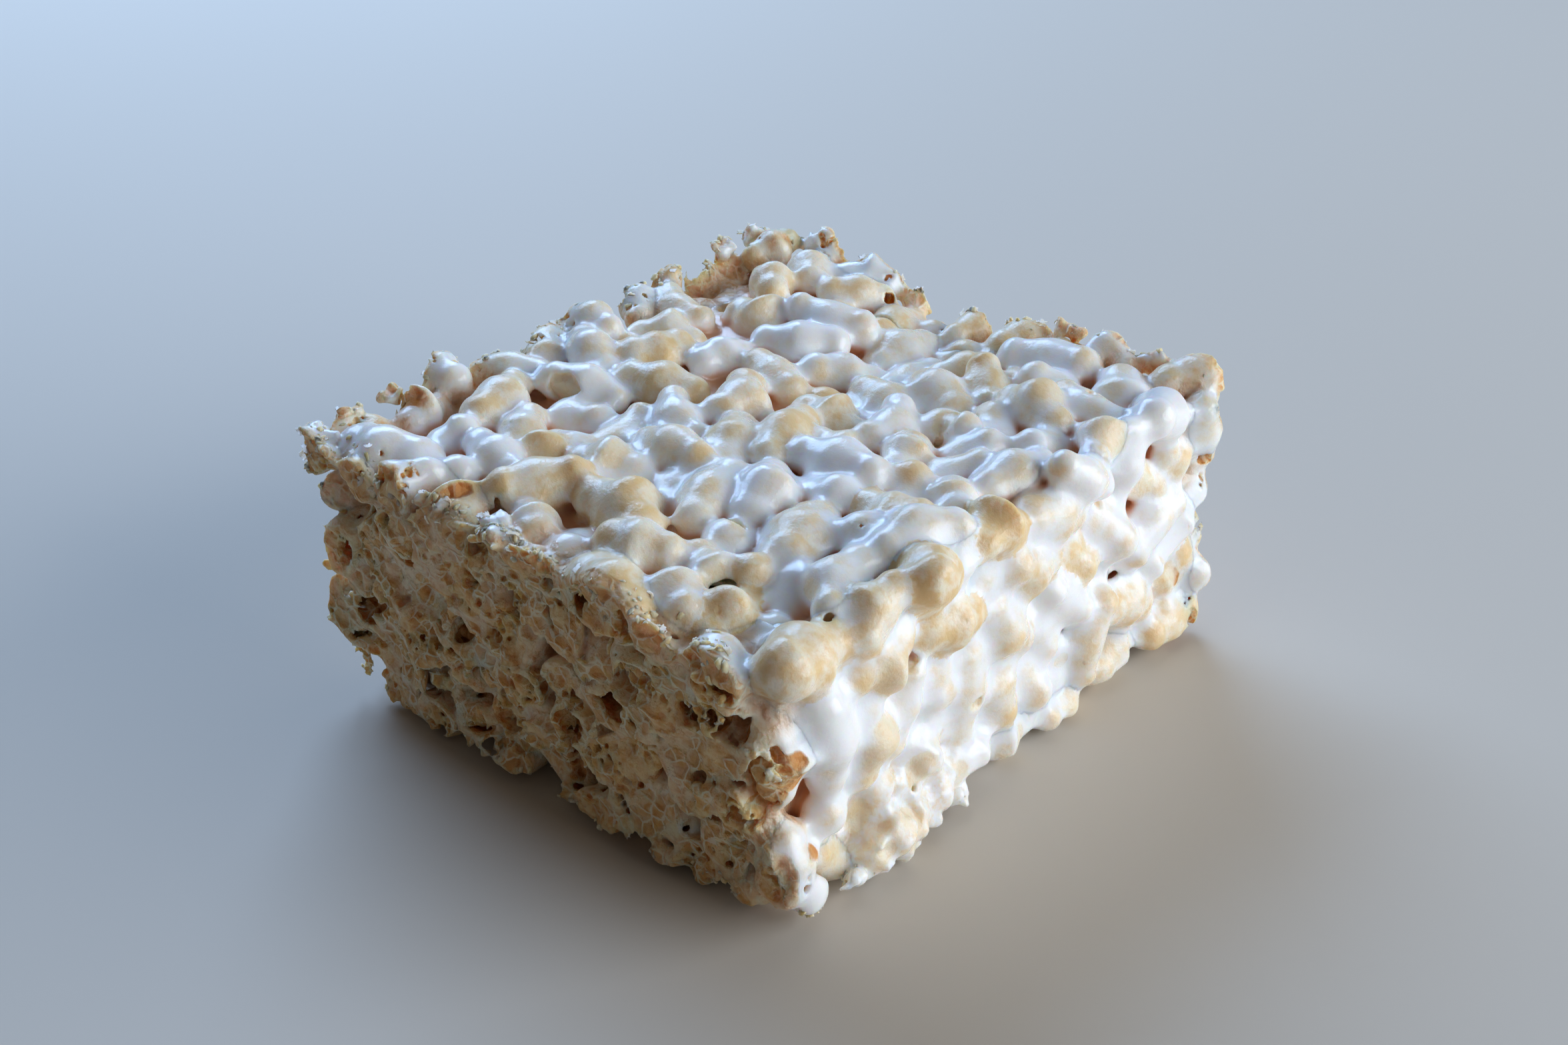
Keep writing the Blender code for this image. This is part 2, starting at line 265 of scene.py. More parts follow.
TUFTS = (
    (0.2, 27.4, 23.0, 1.3, 1.7, 0.8),
    (1.0, 28.6, 23.4, 0.9, 0.9, 0.6),
    (0.2, 25.2, 22.6, 0.9, 1.1, 0.7),
    (0.4, 48.6, 23.6, 1.0, 1.5, 0.7),
    (1.2, 50.2, 24.0, 1.3, 0.8, 0.6),
    (4.6, 50.4, 24.0, 1.3, 0.7, 0.7),
    (8.8, 50.6, 23.8, 1.0, 0.7, 0.6),
    (0.0, 44.4, 22.2, 0.7, 1.4, 1.0),
    (0.4, 20.6, 22.0, 0.8, 1.0, 0.8),
    (0.2, 34.4, 23.2, 0.8, 1.6, 0.7),
    (53.0, 50.4, 24.4, 1.5, 0.8, 0.9),
    (49.0, 50.6, 24.2, 1.2, 0.7, 0.7),
    (55.8, 46.0, 24.0, 0.8, 1.4, 0.8),
    (56.2, 1.8, 23.2, 0.8, 1.1, 0.8),
    (56.4, 7.5, 23.4, 0.7, 1.3, 0.7),
    (56.4, 16.0, 23.4, 0.7, 1.3, 0.7),
    (9.4, 0.1, 1.3, 2.2, 0.7, 0.8),
    (12.8, -0.3, 1.2, 2.2, 0.9, 1.0),
    (16.2, 0.1, 1.4, 2.2, 0.7, 0.8),
    (20.4, 0.1, 1.6, 1.8, 0.8, 1.0),
    (0.9, 12.0, 1.3, 0.7, 1.5, 0.8),
    (0.8, 30.0, 1.4, 0.7, 1.8, 0.8),
)

# Where the film lies thick enough on the top to level the gaps between the crisps: the middle
# along X, Y and Z, and half the size along each. Then how much wetter it is there, and how far
# in from its edge a pool is full
POOLS = (
    (10.0, 26.0, 22.0, 6.0, 5.0, 5.0),
    (16.0, 22.0, 22.5, 5.0, 4.5, 5.0),
    (18.0, 31.0, 22.5, 5.0, 5.0, 5.0),
)
POOLED = 2.2
POOL_EDGE = 2.5 * MM

# The thin web of film at the near end of the top: its middle, half sizes, thickness, bubble holes
WEB = (8.2, 12.9, 21.7, 3.9, 4.0, 0.22)
WEB_HOLES = (
    (6.5, 16.3, 0.55),
    (6.6, 12.3, 0.75),
    (10.7, 14.2, 0.35),
    (8.2, 9.4, 0.4),
    (9.4, 11.2, 0.22),
    (8.6, 15.6, 0.22),
    (5.0, 14.4, 0.22),
    (10.9, 12.4, 0.25),
)

# Where torn bits cling. From the near bottom corner: a line's start and end, how far the bits
# stray from it, how many there are, and how large the largest may be
CRUMB_ROWS = (
    ((0.0, 4.0, 22.6), (0.0, 28.0, 23.2), 1.3, 110, 0.55),
    ((0.0, 28.0, 23.4), (0.0, 50.0, 24.0), 1.2, 90, 0.55),
    ((0.0, 49.6, 24.0), (0.2, 50.0, 14.0), 1.0, 30, 0.55),
    ((0.5, 50.6, 24.2), (56.0, 50.4, 24.4), 1.1, 90, 0.60),
    ((56.4, 1.0, 23.4), (56.6, 50.0, 24.0), 1.1, 60, 0.60),
    ((0.4, 1.0, 1.6), (0.4, 50.0, 1.6), 0.9, 60, 0.45),
    ((1.0, 0.0, 1.2), (24.0, 0.2, 1.4), 0.9, 60, 0.50),
    ((0.0, 25.0, 22.8), (0.3, 29.0, 23.2), 0.8, 40, 0.60),
)

# How torn bits settle: the rounds, the longest step in voxels, the room they need in front, how
# well they must meet the surface and a face piece, and how high over the table they stay
SETTLE_ROUNDS = 9
LONGEST_STEP = 1.5
ROOM_IN_FRONT = 0.45 * MM
MEETS_SURFACE = 0.08 * MM
MEETS_PIECE = 0.25 * MM
OVER_TABLE = 0.8 * MM

# How far in from a side its foot is lifted (none of it, all of it), and how near the food must be
# to hug a place
FOOT_DEPTH = (3.0 * MM, 0.5 * MM)
HUG_REACH = 0.9 * MM

# The faces of the treat, each one piece, with the most triangles it may have
MOST_TRIANGLES = {
    "top": 190000,
    "pan_side": 140000,
    "left_cut": 190000,
    "right_cut": 130000,
    "back_cut": 130000,
    "underside": 70000,
}
FACES = tuple(MOST_TRIANGLES)

# How far the face pieces overlap, how far each then draws in under the other, and how deep they
# are. Then how much of the field is kept for meshing, and how freely flat parts are simplified
OVERLAP_BLUR = 1.3 * MM
RECEDE = 0.35 * MM
SLAB = 6.5 * MM
FIELD_BAND = 2 * MM
ADAPT = 0.01


def length_property(name, description, default, low, high):
    """A property that is a length, in millimetres here and in metres in Blender."""
    return FloatProperty(
        name=name, description=description, default=default * MM, min=low * MM, max=high * MM,
        precision=5, unit="LENGTH",
    )


def colour_property(name, description, default):
    """A property that is a colour."""
    return FloatVectorProperty(
        name=name, description=description, default=default, min=0, max=1, subtype="COLOR"
    )


class TreatShape(bpy.types.PropertyGroup):
    voxel: length_property("Voxel", "Size of the voxels that the food is meshed from", 0.20, 0.1, 1)
    quick_voxel: length_property("Quick voxel", "Size of the voxels in a quick look", 0.34, 0.1, 1)
    film: length_property("Film", "Thickness of the marshmallow on a crisp", 0.12, 0, 1)
    film_wave: length_property("Film unevenness", "How much the film's thickness varies", 0.04, 0, 0.5)
    small_gap: length_property("Small gap", "Radius of the gaps that film fills all over", 0.16, 0.05, 1)
    middle_gap: length_property(
        "Middle gap", "Radius of the gaps that film fills on the top and pan side", 0.45, 0.05, 1
    )
    wide_gap: length_property(
        "Wide gap", "Radius of the gaps that film fills where there is much of it", 1.3, 0.1, 2
    )
    cut_rough: length_property("Cut roughness", "How unevenly the knife cut the crisps", 0.30, 0, 1)
    cell: length_property("Cell", "Size of the open cells inside a cut crisp", 1.05, 0.6, 3)
    hollow_share: FloatProperty(
        name="Hollow crisps", description="Share of the cut crisps that are hollow",
        default=0.10, min=0, max=1, subtype="FACTOR",
    )
    lift: length_property("Lifted foot", "How far the foot of the sides stands off the table", 1.1, 0, 3)
    flakes: IntProperty(
        name="Flakes", description="How many torn flakes cling to the edges",
        default=130, min=0, max=400,
    )


class TreatColours(bpy.types.PropertyGroup):
    film: colour_property("Film", "Marshmallow film", (0.91, 0.915, 0.93))
    film_speck: colour_property("Film speck", "Toasted specks in the film", (0.84, 0.68, 0.46))
    # Painted shade: the dark orange of the film deep in the gaps between crisps, standing in for shade
    # and glow
    film_gap_shade: colour_property("Deep film", "Film deep in the gaps", (0.76, 0.42, 0.25))
    film_cut: colour_property("Cut film", "Film on the cut faces", (0.91, 0.79, 0.59))
    crisp: colour_property("Crisp", "Pale skin of a crisp", (0.89, 0.79, 0.61))
    crisp_golden: colour_property("Golden crisp", "Golden skin of a crisp", (0.81, 0.59, 0.29))
    crisp_tip: colour_property("Crisp tip", "Toasted tips of a crisp", (0.82, 0.57, 0.26))
    crumb: colour_property("Crumb", "Pale inside of a crisp", (0.90, 0.64, 0.34))
    # Golden inside of a crisp, also used as the painted shade in the middles of the small cells on the
    # cuts
    crumb_golden_and_cell_shade: colour_property("Golden crumb", "Golden inside of a crisp", (0.76, 0.38, 0.12))
    # Painted shade: the dark orange at the bottoms of the open cells
    pit_shade: colour_property("Pit", "The bottom of the open cells", (0.64, 0.27, 0.07))
    torn: colour_property("Torn bits", "Pale torn crumbs and flakes", (0.95, 0.74, 0.49))
    torn_golden: colour_property(
        "Golden torn bits", "Golden torn crumbs and flakes", (0.88, 0.57, 0.28)
    )


class TreatStage(bpy.types.PropertyGroup):
    floor: colour_property("Floor", "Colour of the floor", (0.64, 0.585, 0.51))
    side_window: FloatProperty(
        name="Side window", description="Power of the soft light on the pan side",
        default=3.6, min=0, max=50, unit="POWER",
    )
    back_window: FloatProperty(
        name="Back window", description="Power of the cool light from behind",
        default=4.3, min=0, max=50, unit="POWER",
    )
    room: FloatProperty(
        name="Room", description="Strength of the light from all round",
        default=0.07, min=0, max=2, subtype="FACTOR",
    )
    lens: FloatProperty(
        name="Lens", description="Focal length of the camera, in millimetres",
        default=48.2, min=20, max=200, unit="CAMERA",
    )


def top_height(x, y):
    """The height of the pressed top at x and y, which is level but for the low places."""
    height = np.full(np.shape(x), HEIGHT)
    for along, across, radius, depth in DIPS:
        far = np.hypot(x - NEAR_CORNER.x - along * MM, y - NEAR_CORNER.y - across * MM)
        height = height - depth * MM * np.exp(-((far / (radius * MM)) ** 2))
    return height


def direction(heading, rise):
    """The way to a heading, in degrees from X towards Y, and as many degrees up."""
    heading, rise = math.radians(heading), math.radians(rise)
    level = math.cos(rise)
    return Vector((level * math.cos(heading), level * math.sin(heading), math.sin(rise)))


def placed_crisps():
    """The crisps placed one by one: their middles, half lengths as vectors, and radii."""
    middles, halves, radii = [], [], []
    for x, y, z, heading, rise, length, width in PLACED:
        middles.append(NEAR_CORNER + Vector((x, y, z)) * MM)
        halves.append(direction(heading, rise) * (length - width) / 2 * MM)
        radii.append(width / 2 * MM)
    return np.array(middles), np.array(halves), np.array(radii)


def scattered_crisps(rng):
    """Loose crisps thrown at random into the block and a little past its cut sides."""
    low = np.array((-WIDTH / 2 - SPILL, PAN_WALL, 0.0))
    high = np.array((WIDTH / 2 + SPILL, DEPTH / 2 + SPILL, HEIGHT))
    count = int(np.prod(high - low) / CRISP_SPACE)
    middles = rng.uniform(low, high, (count, 3))
    ways = rng.normal(size=(count, 3))
    near_face = np.minimum(HEIGHT - middles[:, 2], middles[:, 2]) < LIE_FLAT
    ways[near_face, 2] *= FLATTEN
    near_pan = middles[:, 1] - PAN_WALL < LIE_FLAT
    ways[near_pan, 1] *= FLATTEN
    ways /= np.linalg.norm(ways, axis=1, keepdims=True)
    halves = ways * rng.uniform(*CRISP_HALF, (count, 1))
    return middles, halves, rng.uniform(*CRISP_RADIUS, count)


def pack_crisps():
    """Shakes the loose crisps down round the placed ones, each as a row of three balls."""
    rng = np.random.default_rng(SEED)
    set_middles, set_halves, set_radii = placed_crisps()
    loose_middles, loose_halves, loose_radii = scattered_crisps(rng)
    fixed = len(set_radii)
    middles = np.concatenate((set_middles, loose_middles))
    halves = np.concatenate((set_halves, loose_halves))
    radii = np.concatenate((set_radii, loose_radii))
    count = len(radii)
    lengths = np.linalg.norm(halves, axis=1)
    tapers = rng.uniform(*END_TAPER, (count, 2))
    rises = rng.uniform(*RISES, count)
    balls = np.stack((radii * tapers[:, 0], radii, radii * tapers[:, 1]), axis=1)
    steps = np.array((-1.0, 0.0, 1.0))
    for turn in range(ROUNDS):
        if turn % RELIST == 0:
            gaps = np.linalg.norm(middles[:, None] - middles[None], axis=2)
            first, second = np.nonzero(np.triu(gaps < REACH, 1))
        spots = middles[:, None] + steps[None, :, None] * halves[:, None]
        away = spots[first][:, :, None] - spots[second][:, None]
        far = np.linalg.norm(away, axis=3) + 1e-9
        press = balls[first][:, :, None] + balls[second][:, None] - far
        press = np.maximum(press, 0.0)[..., None] * away / far[..., None]
        push = np.zeros((count, 3, 3))
        np.add.at(push, first, press.sum(axis=2) * PUSH)
        np.add.at(push, second, press.sum(axis=1) * -PUSH)
        ceiling = top_height(spots[..., 0], spots[..., 1]) + rises[:, None]
        push[..., 2] += np.minimum(ceiling - balls - spots[..., 2], 0.0)
        push[..., 2] += np.maximum(balls - spots[..., 2], 0.0)
        wall = PAN_WALL - rises[:, None]
        push[..., 1] += np.maximum(wall + balls - spots[..., 1], 0.0)
        near_top = HEIGHT - middles[:, 2] < LIE_FLAT
        push[near_top, :, 2] += SETTLE
        near_pan = middles[:, 1] - PAN_WALL < LIE_FLAT
        push[near_pan, :, 1] -= SETTLE
        push[:fixed] = 0.0
        middles = middles + push.mean(axis=1)
        halves = halves + (push[:, 2] - push[:, 0]) / 2
        halves *= (lengths / np.linalg.norm(halves, axis=1))[:, None]
    return np.round(middles, 6), np.round(halves, 6), np.round(balls, 6)


class Voxels:
    """A box of voxels round the treat, and what is known at each of them."""

    def __init__(self, step):
        self.step = step
        self.low = np.array((-WIDTH / 2, PAN_WALL, 0.0)) - ROOM
        high = np.array((WIDTH / 2, DEPTH / 2, HEIGHT)) + ROOM
        self.shape = tuple(int(n) for n in np.ceil((high - self.low) / step) + 1)
        self.line = [
            (self.low[axis] + step * np.arange(self.shape[axis])).astype(np.float32)
            for axis in range(3)
        ]
        self.x = self.line[0][:, None, None]
        self.y = self.line[1][None, :, None]
        self.z = self.line[2][None, None, :]

    def span(self, low, high):
        """The slices that hold the voxels between two corners."""
        start = np.clip(np.floor((low - self.low) / self.step).astype(int), 0, self.shape)
        stop = np.clip(np.ceil((high - self.low) / self.step).astype(int) + 1, 0, self.shape)
        return tuple(slice(a, b) for a, b in zip(start, stop))

    def lines(self, part):
        return (
            self.line[0][part[0]][:, None, None],
            self.line[1][part[1]][None, :, None],
            self.line[2][part[2]][None, None, :],
        )

    def full(self, value, kind=np.float32):
        return np.full(self.shape, value, dtype=kind)


def spline_rows(count, step, offset):
    """The weights that spread a coarse row of values over a fine one as a smooth curve."""
    place = np.arange(count) / step + offset
    base = np.floor(place).astype(int)
    t = place - base
    rows = np.zeros((count, base.max() + 4), dtype=np.float32)
    index = np.arange(count)
    rows[index, base] = (1 - t) ** 3 / 6
    rows[index, base + 1] = (3 * t**3 - 6 * t**2 + 4) / 6
    rows[index, base + 2] = (-3 * t**3 + 3 * t**2 + 3 * t + 1) / 6
    rows[index, base + 3] = t**3 / 6
    return rows


def waves(voxels, name):
    """Smooth random waves, with a spread of 1 about 0."""
    length_of_wave, seed = WAVES[name]
    rng = np.random.default_rng(SEED * 1000 + seed)
    rows = [
        spline_rows(count, length_of_wave / voxels.step, rng.uniform(0, 1))
        for count in voxels.shape
    ]
    knots = rng.normal(size=[row.shape[1] for row in rows]).astype(np.float32)
    knots = np.tensordot(rows[0], knots, (1, 0))
    knots = np.tensordot(rows[1], knots, (1, 1)).transpose(1, 0, 2)
    knots = np.matmul(knots, rows[2].T)
    return knots * np.float32(1 / WAVE_SPREAD)


def crisp_distance(x, y, z, middle, half, balls, bend):
    """The distance to one crisp, a bent grain fullest at its middle, and how near its end."""
    share = (x - middle[0]) * half[0] + (y - middle[1]) * half[1] + (z - middle[2]) * half[2]
    share = np.clip(share / half.dot(half), -1.0, 1.0)
    swing = 1 - 2 * share * share
    off = (x - middle[0] - share * half[0] - swing * bend[0]) ** 2
    off += (y - middle[1] - share * half[1] - swing * bend[1]) ** 2
    off += (z - middle[2] - share * half[2] - swing * bend[2]) ** 2
    end = np.where(share < 0, balls[0], balls[2])
    share = share * share
    return np.sqrt(off) - balls[1] - (end - balls[1]) * share * (2 - share), share


def smooth_min(a, b, join):
    soft = np.float32(SOFT[join])
    share = np.clip(0.5 + 0.5 * (b - a) / soft, 0.0, 1.0)
    return b + (a - b) * share - soft * share * (1 - share)


def smooth_max(a, b, join):
    return -smooth_min(-a, -b, join)


def smoothstep(low, high, values):
    share = np.clip((values - low) / (high - low), 0.0, 1.0)
    return share * share * (3.0 - 2.0 * share)


def lay_crisps(voxels, crisps, bends):
    """The nearest crisp's distance, its number, a softly joined distance, and its tips."""
    near = voxels.full(MARGIN)
    owner = voxels.full(-1, np.int16)
    joined = voxels.full(0.0)
    tip = voxels.full(0.0)
    for number, (middle, half, balls) in enumerate(zip(*crisps)):
        bend = bends[number]
        reach = balls.max() + MARGIN + BEND
        part = voxels.span(middle - abs(half) - reach, middle + abs(half) + reach)
        if any(piece.start >= piece.stop for piece in part):
            continue
        sizes = [values.astype(np.float32) for values in (middle, half, balls, bend)]
        away, share = crisp_distance(*voxels.lines(part), *sizes)
        away += np.float32(SLIM)
        closer = away < near[part]
        tip[part][closer] = share[closer]
        near[part][closer] = away[closer]
        owner[part][closer] = number
        joined[part] += np.exp(-away / np.float32(CREASE))
    joined = -np.float32(CREASE) * np.log(joined + np.float32(math.exp(-MARGIN / CREASE)))
    return near, owner, joined, tip


def face_depths(voxels):
    """How deep each voxel is under each face."""
    x, y = voxels.x[..., 0], voxels.y[..., 0]
    lean = np.float32(WIDTH / 2) + np.float32(LEAN) * (2 * voxels.z / np.float32(HEIGHT) - 1)
    return {
        "top": top_height(x, y).astype(np.float32)[..., None] - voxels.z,
        "pan_side": voxels.y - np.float32(PAN_WALL),
        "left_cut": lean + voxels.x,
        "right_cut": lean - voxels.x,
        "back_cut": lean - np.float32((WIDTH - DEPTH) / 2) - voxels.y,
        "underside": voxels.z,
    }


def least_depth(depths, names):
    """How deep each voxel is under the nearest of the named faces."""
    least = depths[names[0]]
    for name in names[1:]:
        least = np.minimum(least, depths[name])
    return least


def box_blur(values, reach, axis):
    """The running mean over 2 * reach + 1 voxels along one axis."""
    edge = [(0, 0)] * 3
    edge[axis] = (reach + 1, reach)
    total = np.cumsum(np.pad(values, edge, mode="edge"), axis=axis, dtype=np.float32)
    count = values.shape[axis]
    width = 2 * reach + 1
    high = np.take(total, range(width, width + count), axis=axis)
    low = np.take(total, range(0, count), axis=axis)
    return (high - low) / np.float32(width)


def blur(values, reach, times=1):
    for _ in range(times):
        for axis in range(3):
            values = box_blur(values, reach, axis)
    return values


def surface(values, level=0.0, adapt=0.0):
    """The mesh of a field at one level, in voxels: its corners, triangles and quads."""
    grid = openvdb.FloatGrid(float(values.max()))
    grid.copyFromArray(np.ascontiguousarray(values, dtype=np.float32))
    grid.gridClass = openvdb.GridClass.LEVEL_SET
    return grid.convertToPolygons(isovalue=level, adaptivity=adapt)


def close_gaps(values, step, radius):
    """Fills what a ball of the given radius can't enter, as thick syrup does."""
    band = int(math.ceil(radius / step)) + 3
    limit = np.float32(radius * 1.5)
    points, triangles, quads = surface(np.minimum(values, limit), level=radius)
    swollen = openvdb.FloatGrid.createLevelSetFromPolygons(
        points.astype(np.float32),
        triangles=triangles if len(triangles) else None,
        quads=quads,
        halfWidth=float(band),
    )
    distance = np.empty(values.shape, dtype=np.float32)
    swollen.copyToArray(distance)
    return distance * np.float32(step) + np.float32(radius)


def cell_walls(voxels, cell):
    """Half the gap between the two nearest cell middles, which is small along cell walls."""
    first = voxels.full(MARGIN)
    second = voxels.full(MARGIN)
    rng = np.random.default_rng(SEED + 20)
    reach = 1.7 * cell
    slabs = (
        ((-WIDTH / 2 - MM, PAN_WALL, 0), (-WIDTH / 2 + CELL_DEPTH + cell, DEPTH / 2, HEIGHT)),
        ((WIDTH / 2 - CELL_DEPTH - cell, PAN_WALL, 0), (WIDTH / 2 + MM, DEPTH / 2, HEIGHT)),
        ((-WIDTH / 2, DEPTH / 2 - CELL_DEPTH - cell, 0), (WIDTH / 2, DEPTH / 2 + MM, HEIGHT)),
    )
    for low, high in slabs:
        count = int(np.prod(np.subtract(high, low)) / cell**3)
        spots = rng.uniform(low, high, (count, 3))
        for spot, weight in zip(spots, rng.uniform(*CELL_UNEVEN, count)):
            part = voxels.span(spot - reach, spot + reach)
            x, y, z = voxels.lines(part)
            spot = spot.astype(np.float32)
            away = np.sqrt((x - spot[0]) ** 2 + (y - spot[1]) ** 2 + (z - spot[2]) ** 2)
            away = (away * weight).astype(np.float32)
            second[part] = np.minimum(second[part], np.maximum(first[part], away))
            first[part] = np.minimum(first[part], away)
    return (second - first) / 2


def egg(voxels, spot):
    """The voxels round an egg shape given in millimetres from the near corner, and its distance."""
    middle = np.array(NEAR_CORNER) + np.array(spot[:3]) * MM
    sizes = np.array(spot[3:]) * MM
    reach = sizes * 1.6 + 1.2 * MM
    part = voxels.span(middle - reach, middle + reach)
    x, y, z = voxels.lines(part)
    middle, sizes = middle.astype(np.float32), sizes.astype(np.float32)
    off = ((x - middle[0]) / sizes[0]) ** 2
    off = off + ((y - middle[1]) / sizes[1]) ** 2 + ((z - middle[2]) / sizes[2]) ** 2
    return part, (np.sqrt(off) - 1) * sizes.min()


def shown_crisps():
    """The crisps near enough to a face to matter, and the face each of them is nearest to."""
    middles, halves, balls = pack_crisps()
    edge = np.stack((
        HEIGHT - middles[:, 2],
        middles[:, 1] - PAN_WALL,
        middles[:, 0] + WIDTH / 2,
        WIDTH / 2 - middles[:, 0],
        DEPTH / 2 - middles[:, 1],
        middles[:, 2],
    ))
    shown = edge.min(axis=0) < SHELL
    middles, halves, balls = middles[shown], halves[shown], balls[shown]
    lengths = np.linalg.norm(halves, axis=1, keepdims=True)
    slimmer = balls[:, [0, 2]] * (1 - SLIM_ENDS)
    middles = middles + halves / lengths * (slimmer[:, 1:] - slimmer[:, :1]) / 2
    halves = halves * (1 + (slimmer[:, 1:] + slimmer[:, :1]) / 2 / lengths)
    balls = balls * (SLIM_ENDS, FULL_MIDDLE, SLIM_ENDS)
    return (middles, halves, balls), edge[:, shown].argmin(axis=0)


def coat_with_film(voxels, joined, depths, cut_depth, deep, lumps, wet, shape):
    """Marshmallow over the crisps, thicker where they meet and where more of it was left."""
    film = np.clip(shape.film + np.float32(shape.film_wave) * wet, *FILM_LIMITS)
    field = joined - film + lumps
    field = smooth_min(field, np.float32(CORE_DEPTH) - deep, "core")
    top_share = smoothstep(*OUTER_FILM_DEPTH, depths["top"])
    pan_share = smoothstep(*OUTER_FILM_DEPTH, depths["pan_side"])
    cut_share = smoothstep(*CUT_FILM_DEPTH, cut_depth)
    cut_share = cut_share * smoothstep(*CUT_FILM_TOP, depths["top"])
    for spot in POOLS:
        part, away = egg(voxels, spot)
        pool = smoothstep(0, -POOL_EDGE, away) * np.float32(POOLED)
        wet[part] = np.maximum(wet[part], 0) + pool
    outer = np.maximum(top_share, pan_share)
    share = np.float32(0)
    for near_face, (usual, wetter) in (
        (top_share, TOP_FILM), (pan_share, PAN_FILM), (cut_share, CUT_FILM)
    ):
        share = np.maximum(share, near_face * (usual + wetter * wet))
    share = np.minimum(share, MOST_FILLED)
    small = close_gaps(field, voxels.step, shape.small_gap)
    wide = close_gaps(field, voxels.step, shape.wide_gap)
    middle = close_gaps(field, voxels.step, shape.middle_gap)
    small += (middle - small) * outer * np.float32(MIDDLE_FILLED)
    return small + (wide - small) * share


def add_web(voxels, field):
    """A thin sheet of film with burst bubbles, stretched over a hollow between crisps."""
    x, y, z, width, depth, thick = WEB
    part, away = egg(voxels, (x, y, z - 1.0, width, depth, 2.2))
    field[part] = smooth_max(field[part], -away - np.float32(0.4 * MM), "web hollow")
    part, away = egg(voxels, (x, y, z, width + 0.8, depth + 0.8, 2.4))
    along, across, up = voxels.lines(part)
    low = np.array(NEAR_CORNER)
    rise = (away + np.float32(2 * MM)) * 0.12
    sheet = abs(up - np.float32(low[2] + z * MM) - rise) - np.float32(thick * MM)
    sheet = np.maximum(sheet, away)
    for hole_x, hole_y, radius in WEB_HOLES:
        off = (along - np.float32(low[0] + hole_x * MM)) ** 2
        off = off + (across - np.float32(low[1] + hole_y * MM)) ** 2
        sheet = smooth_max(sheet, np.float32(radius * MM) - np.sqrt(off), "web hole")
    field[part] = smooth_min(field[part], sheet, "web")


def cut_sides(voxels, field, near, owner, cut_depth, below_top, rng, shape):
    """The knife's work: uneven cuts through the crisps, with their cells laid open."""
    count = owner.max() + 1
    rough = shape.cut_rough
    jitter = rng.normal(0, rough, count).clip(-2 * rough, 2 * rough)
    uneven = np.append(jitter, 0.0).astype(np.float32)[owner]
    uneven = blur(uneven, 1, 2) + waves(voxels, "knife") * np.float32(CUT_WAVE)
    torn = waves(voxels, "torn") * np.float32(TEAR)
    torn += waves(voxels, "finely torn") * np.float32(TEAR)
    knife = uneven + torn - cut_depth
    cells = cell_walls(voxels, shape.cell)
    cells -= np.float32(CELL_WALL) * (1 + WALL_UNEVEN * waves(voxels, "cell walls"))
    cells = np.minimum(cells, knife + np.float32(CELL_DEPTH))
    walls = np.maximum(-near - np.float32(CELL_SKIN), near - np.float32(FILM_WALL))
    cells = np.minimum(cells, walls - torn)
    hollow = np.append(rng.uniform(size=count) < shape.hollow_share, False)[owner]
    inside = -near - np.float32(HOLLOW_WALL) + torn * 2
    inside = np.minimum(inside, knife + np.float32(HOLLOW_DEPTH))
    cells = np.where(hollow, inside, cells)
    crust = below_top - np.float32(CRUST) + torn * 4
    crust += np.maximum(voxels.y - np.float32(PAN_WALL + CRUST_END), 0)
    cells = np.minimum(cells, crust)
    field = smooth_max(field, cells, "cell")
    return smooth_max(field, knife, "knife"), knife, torn


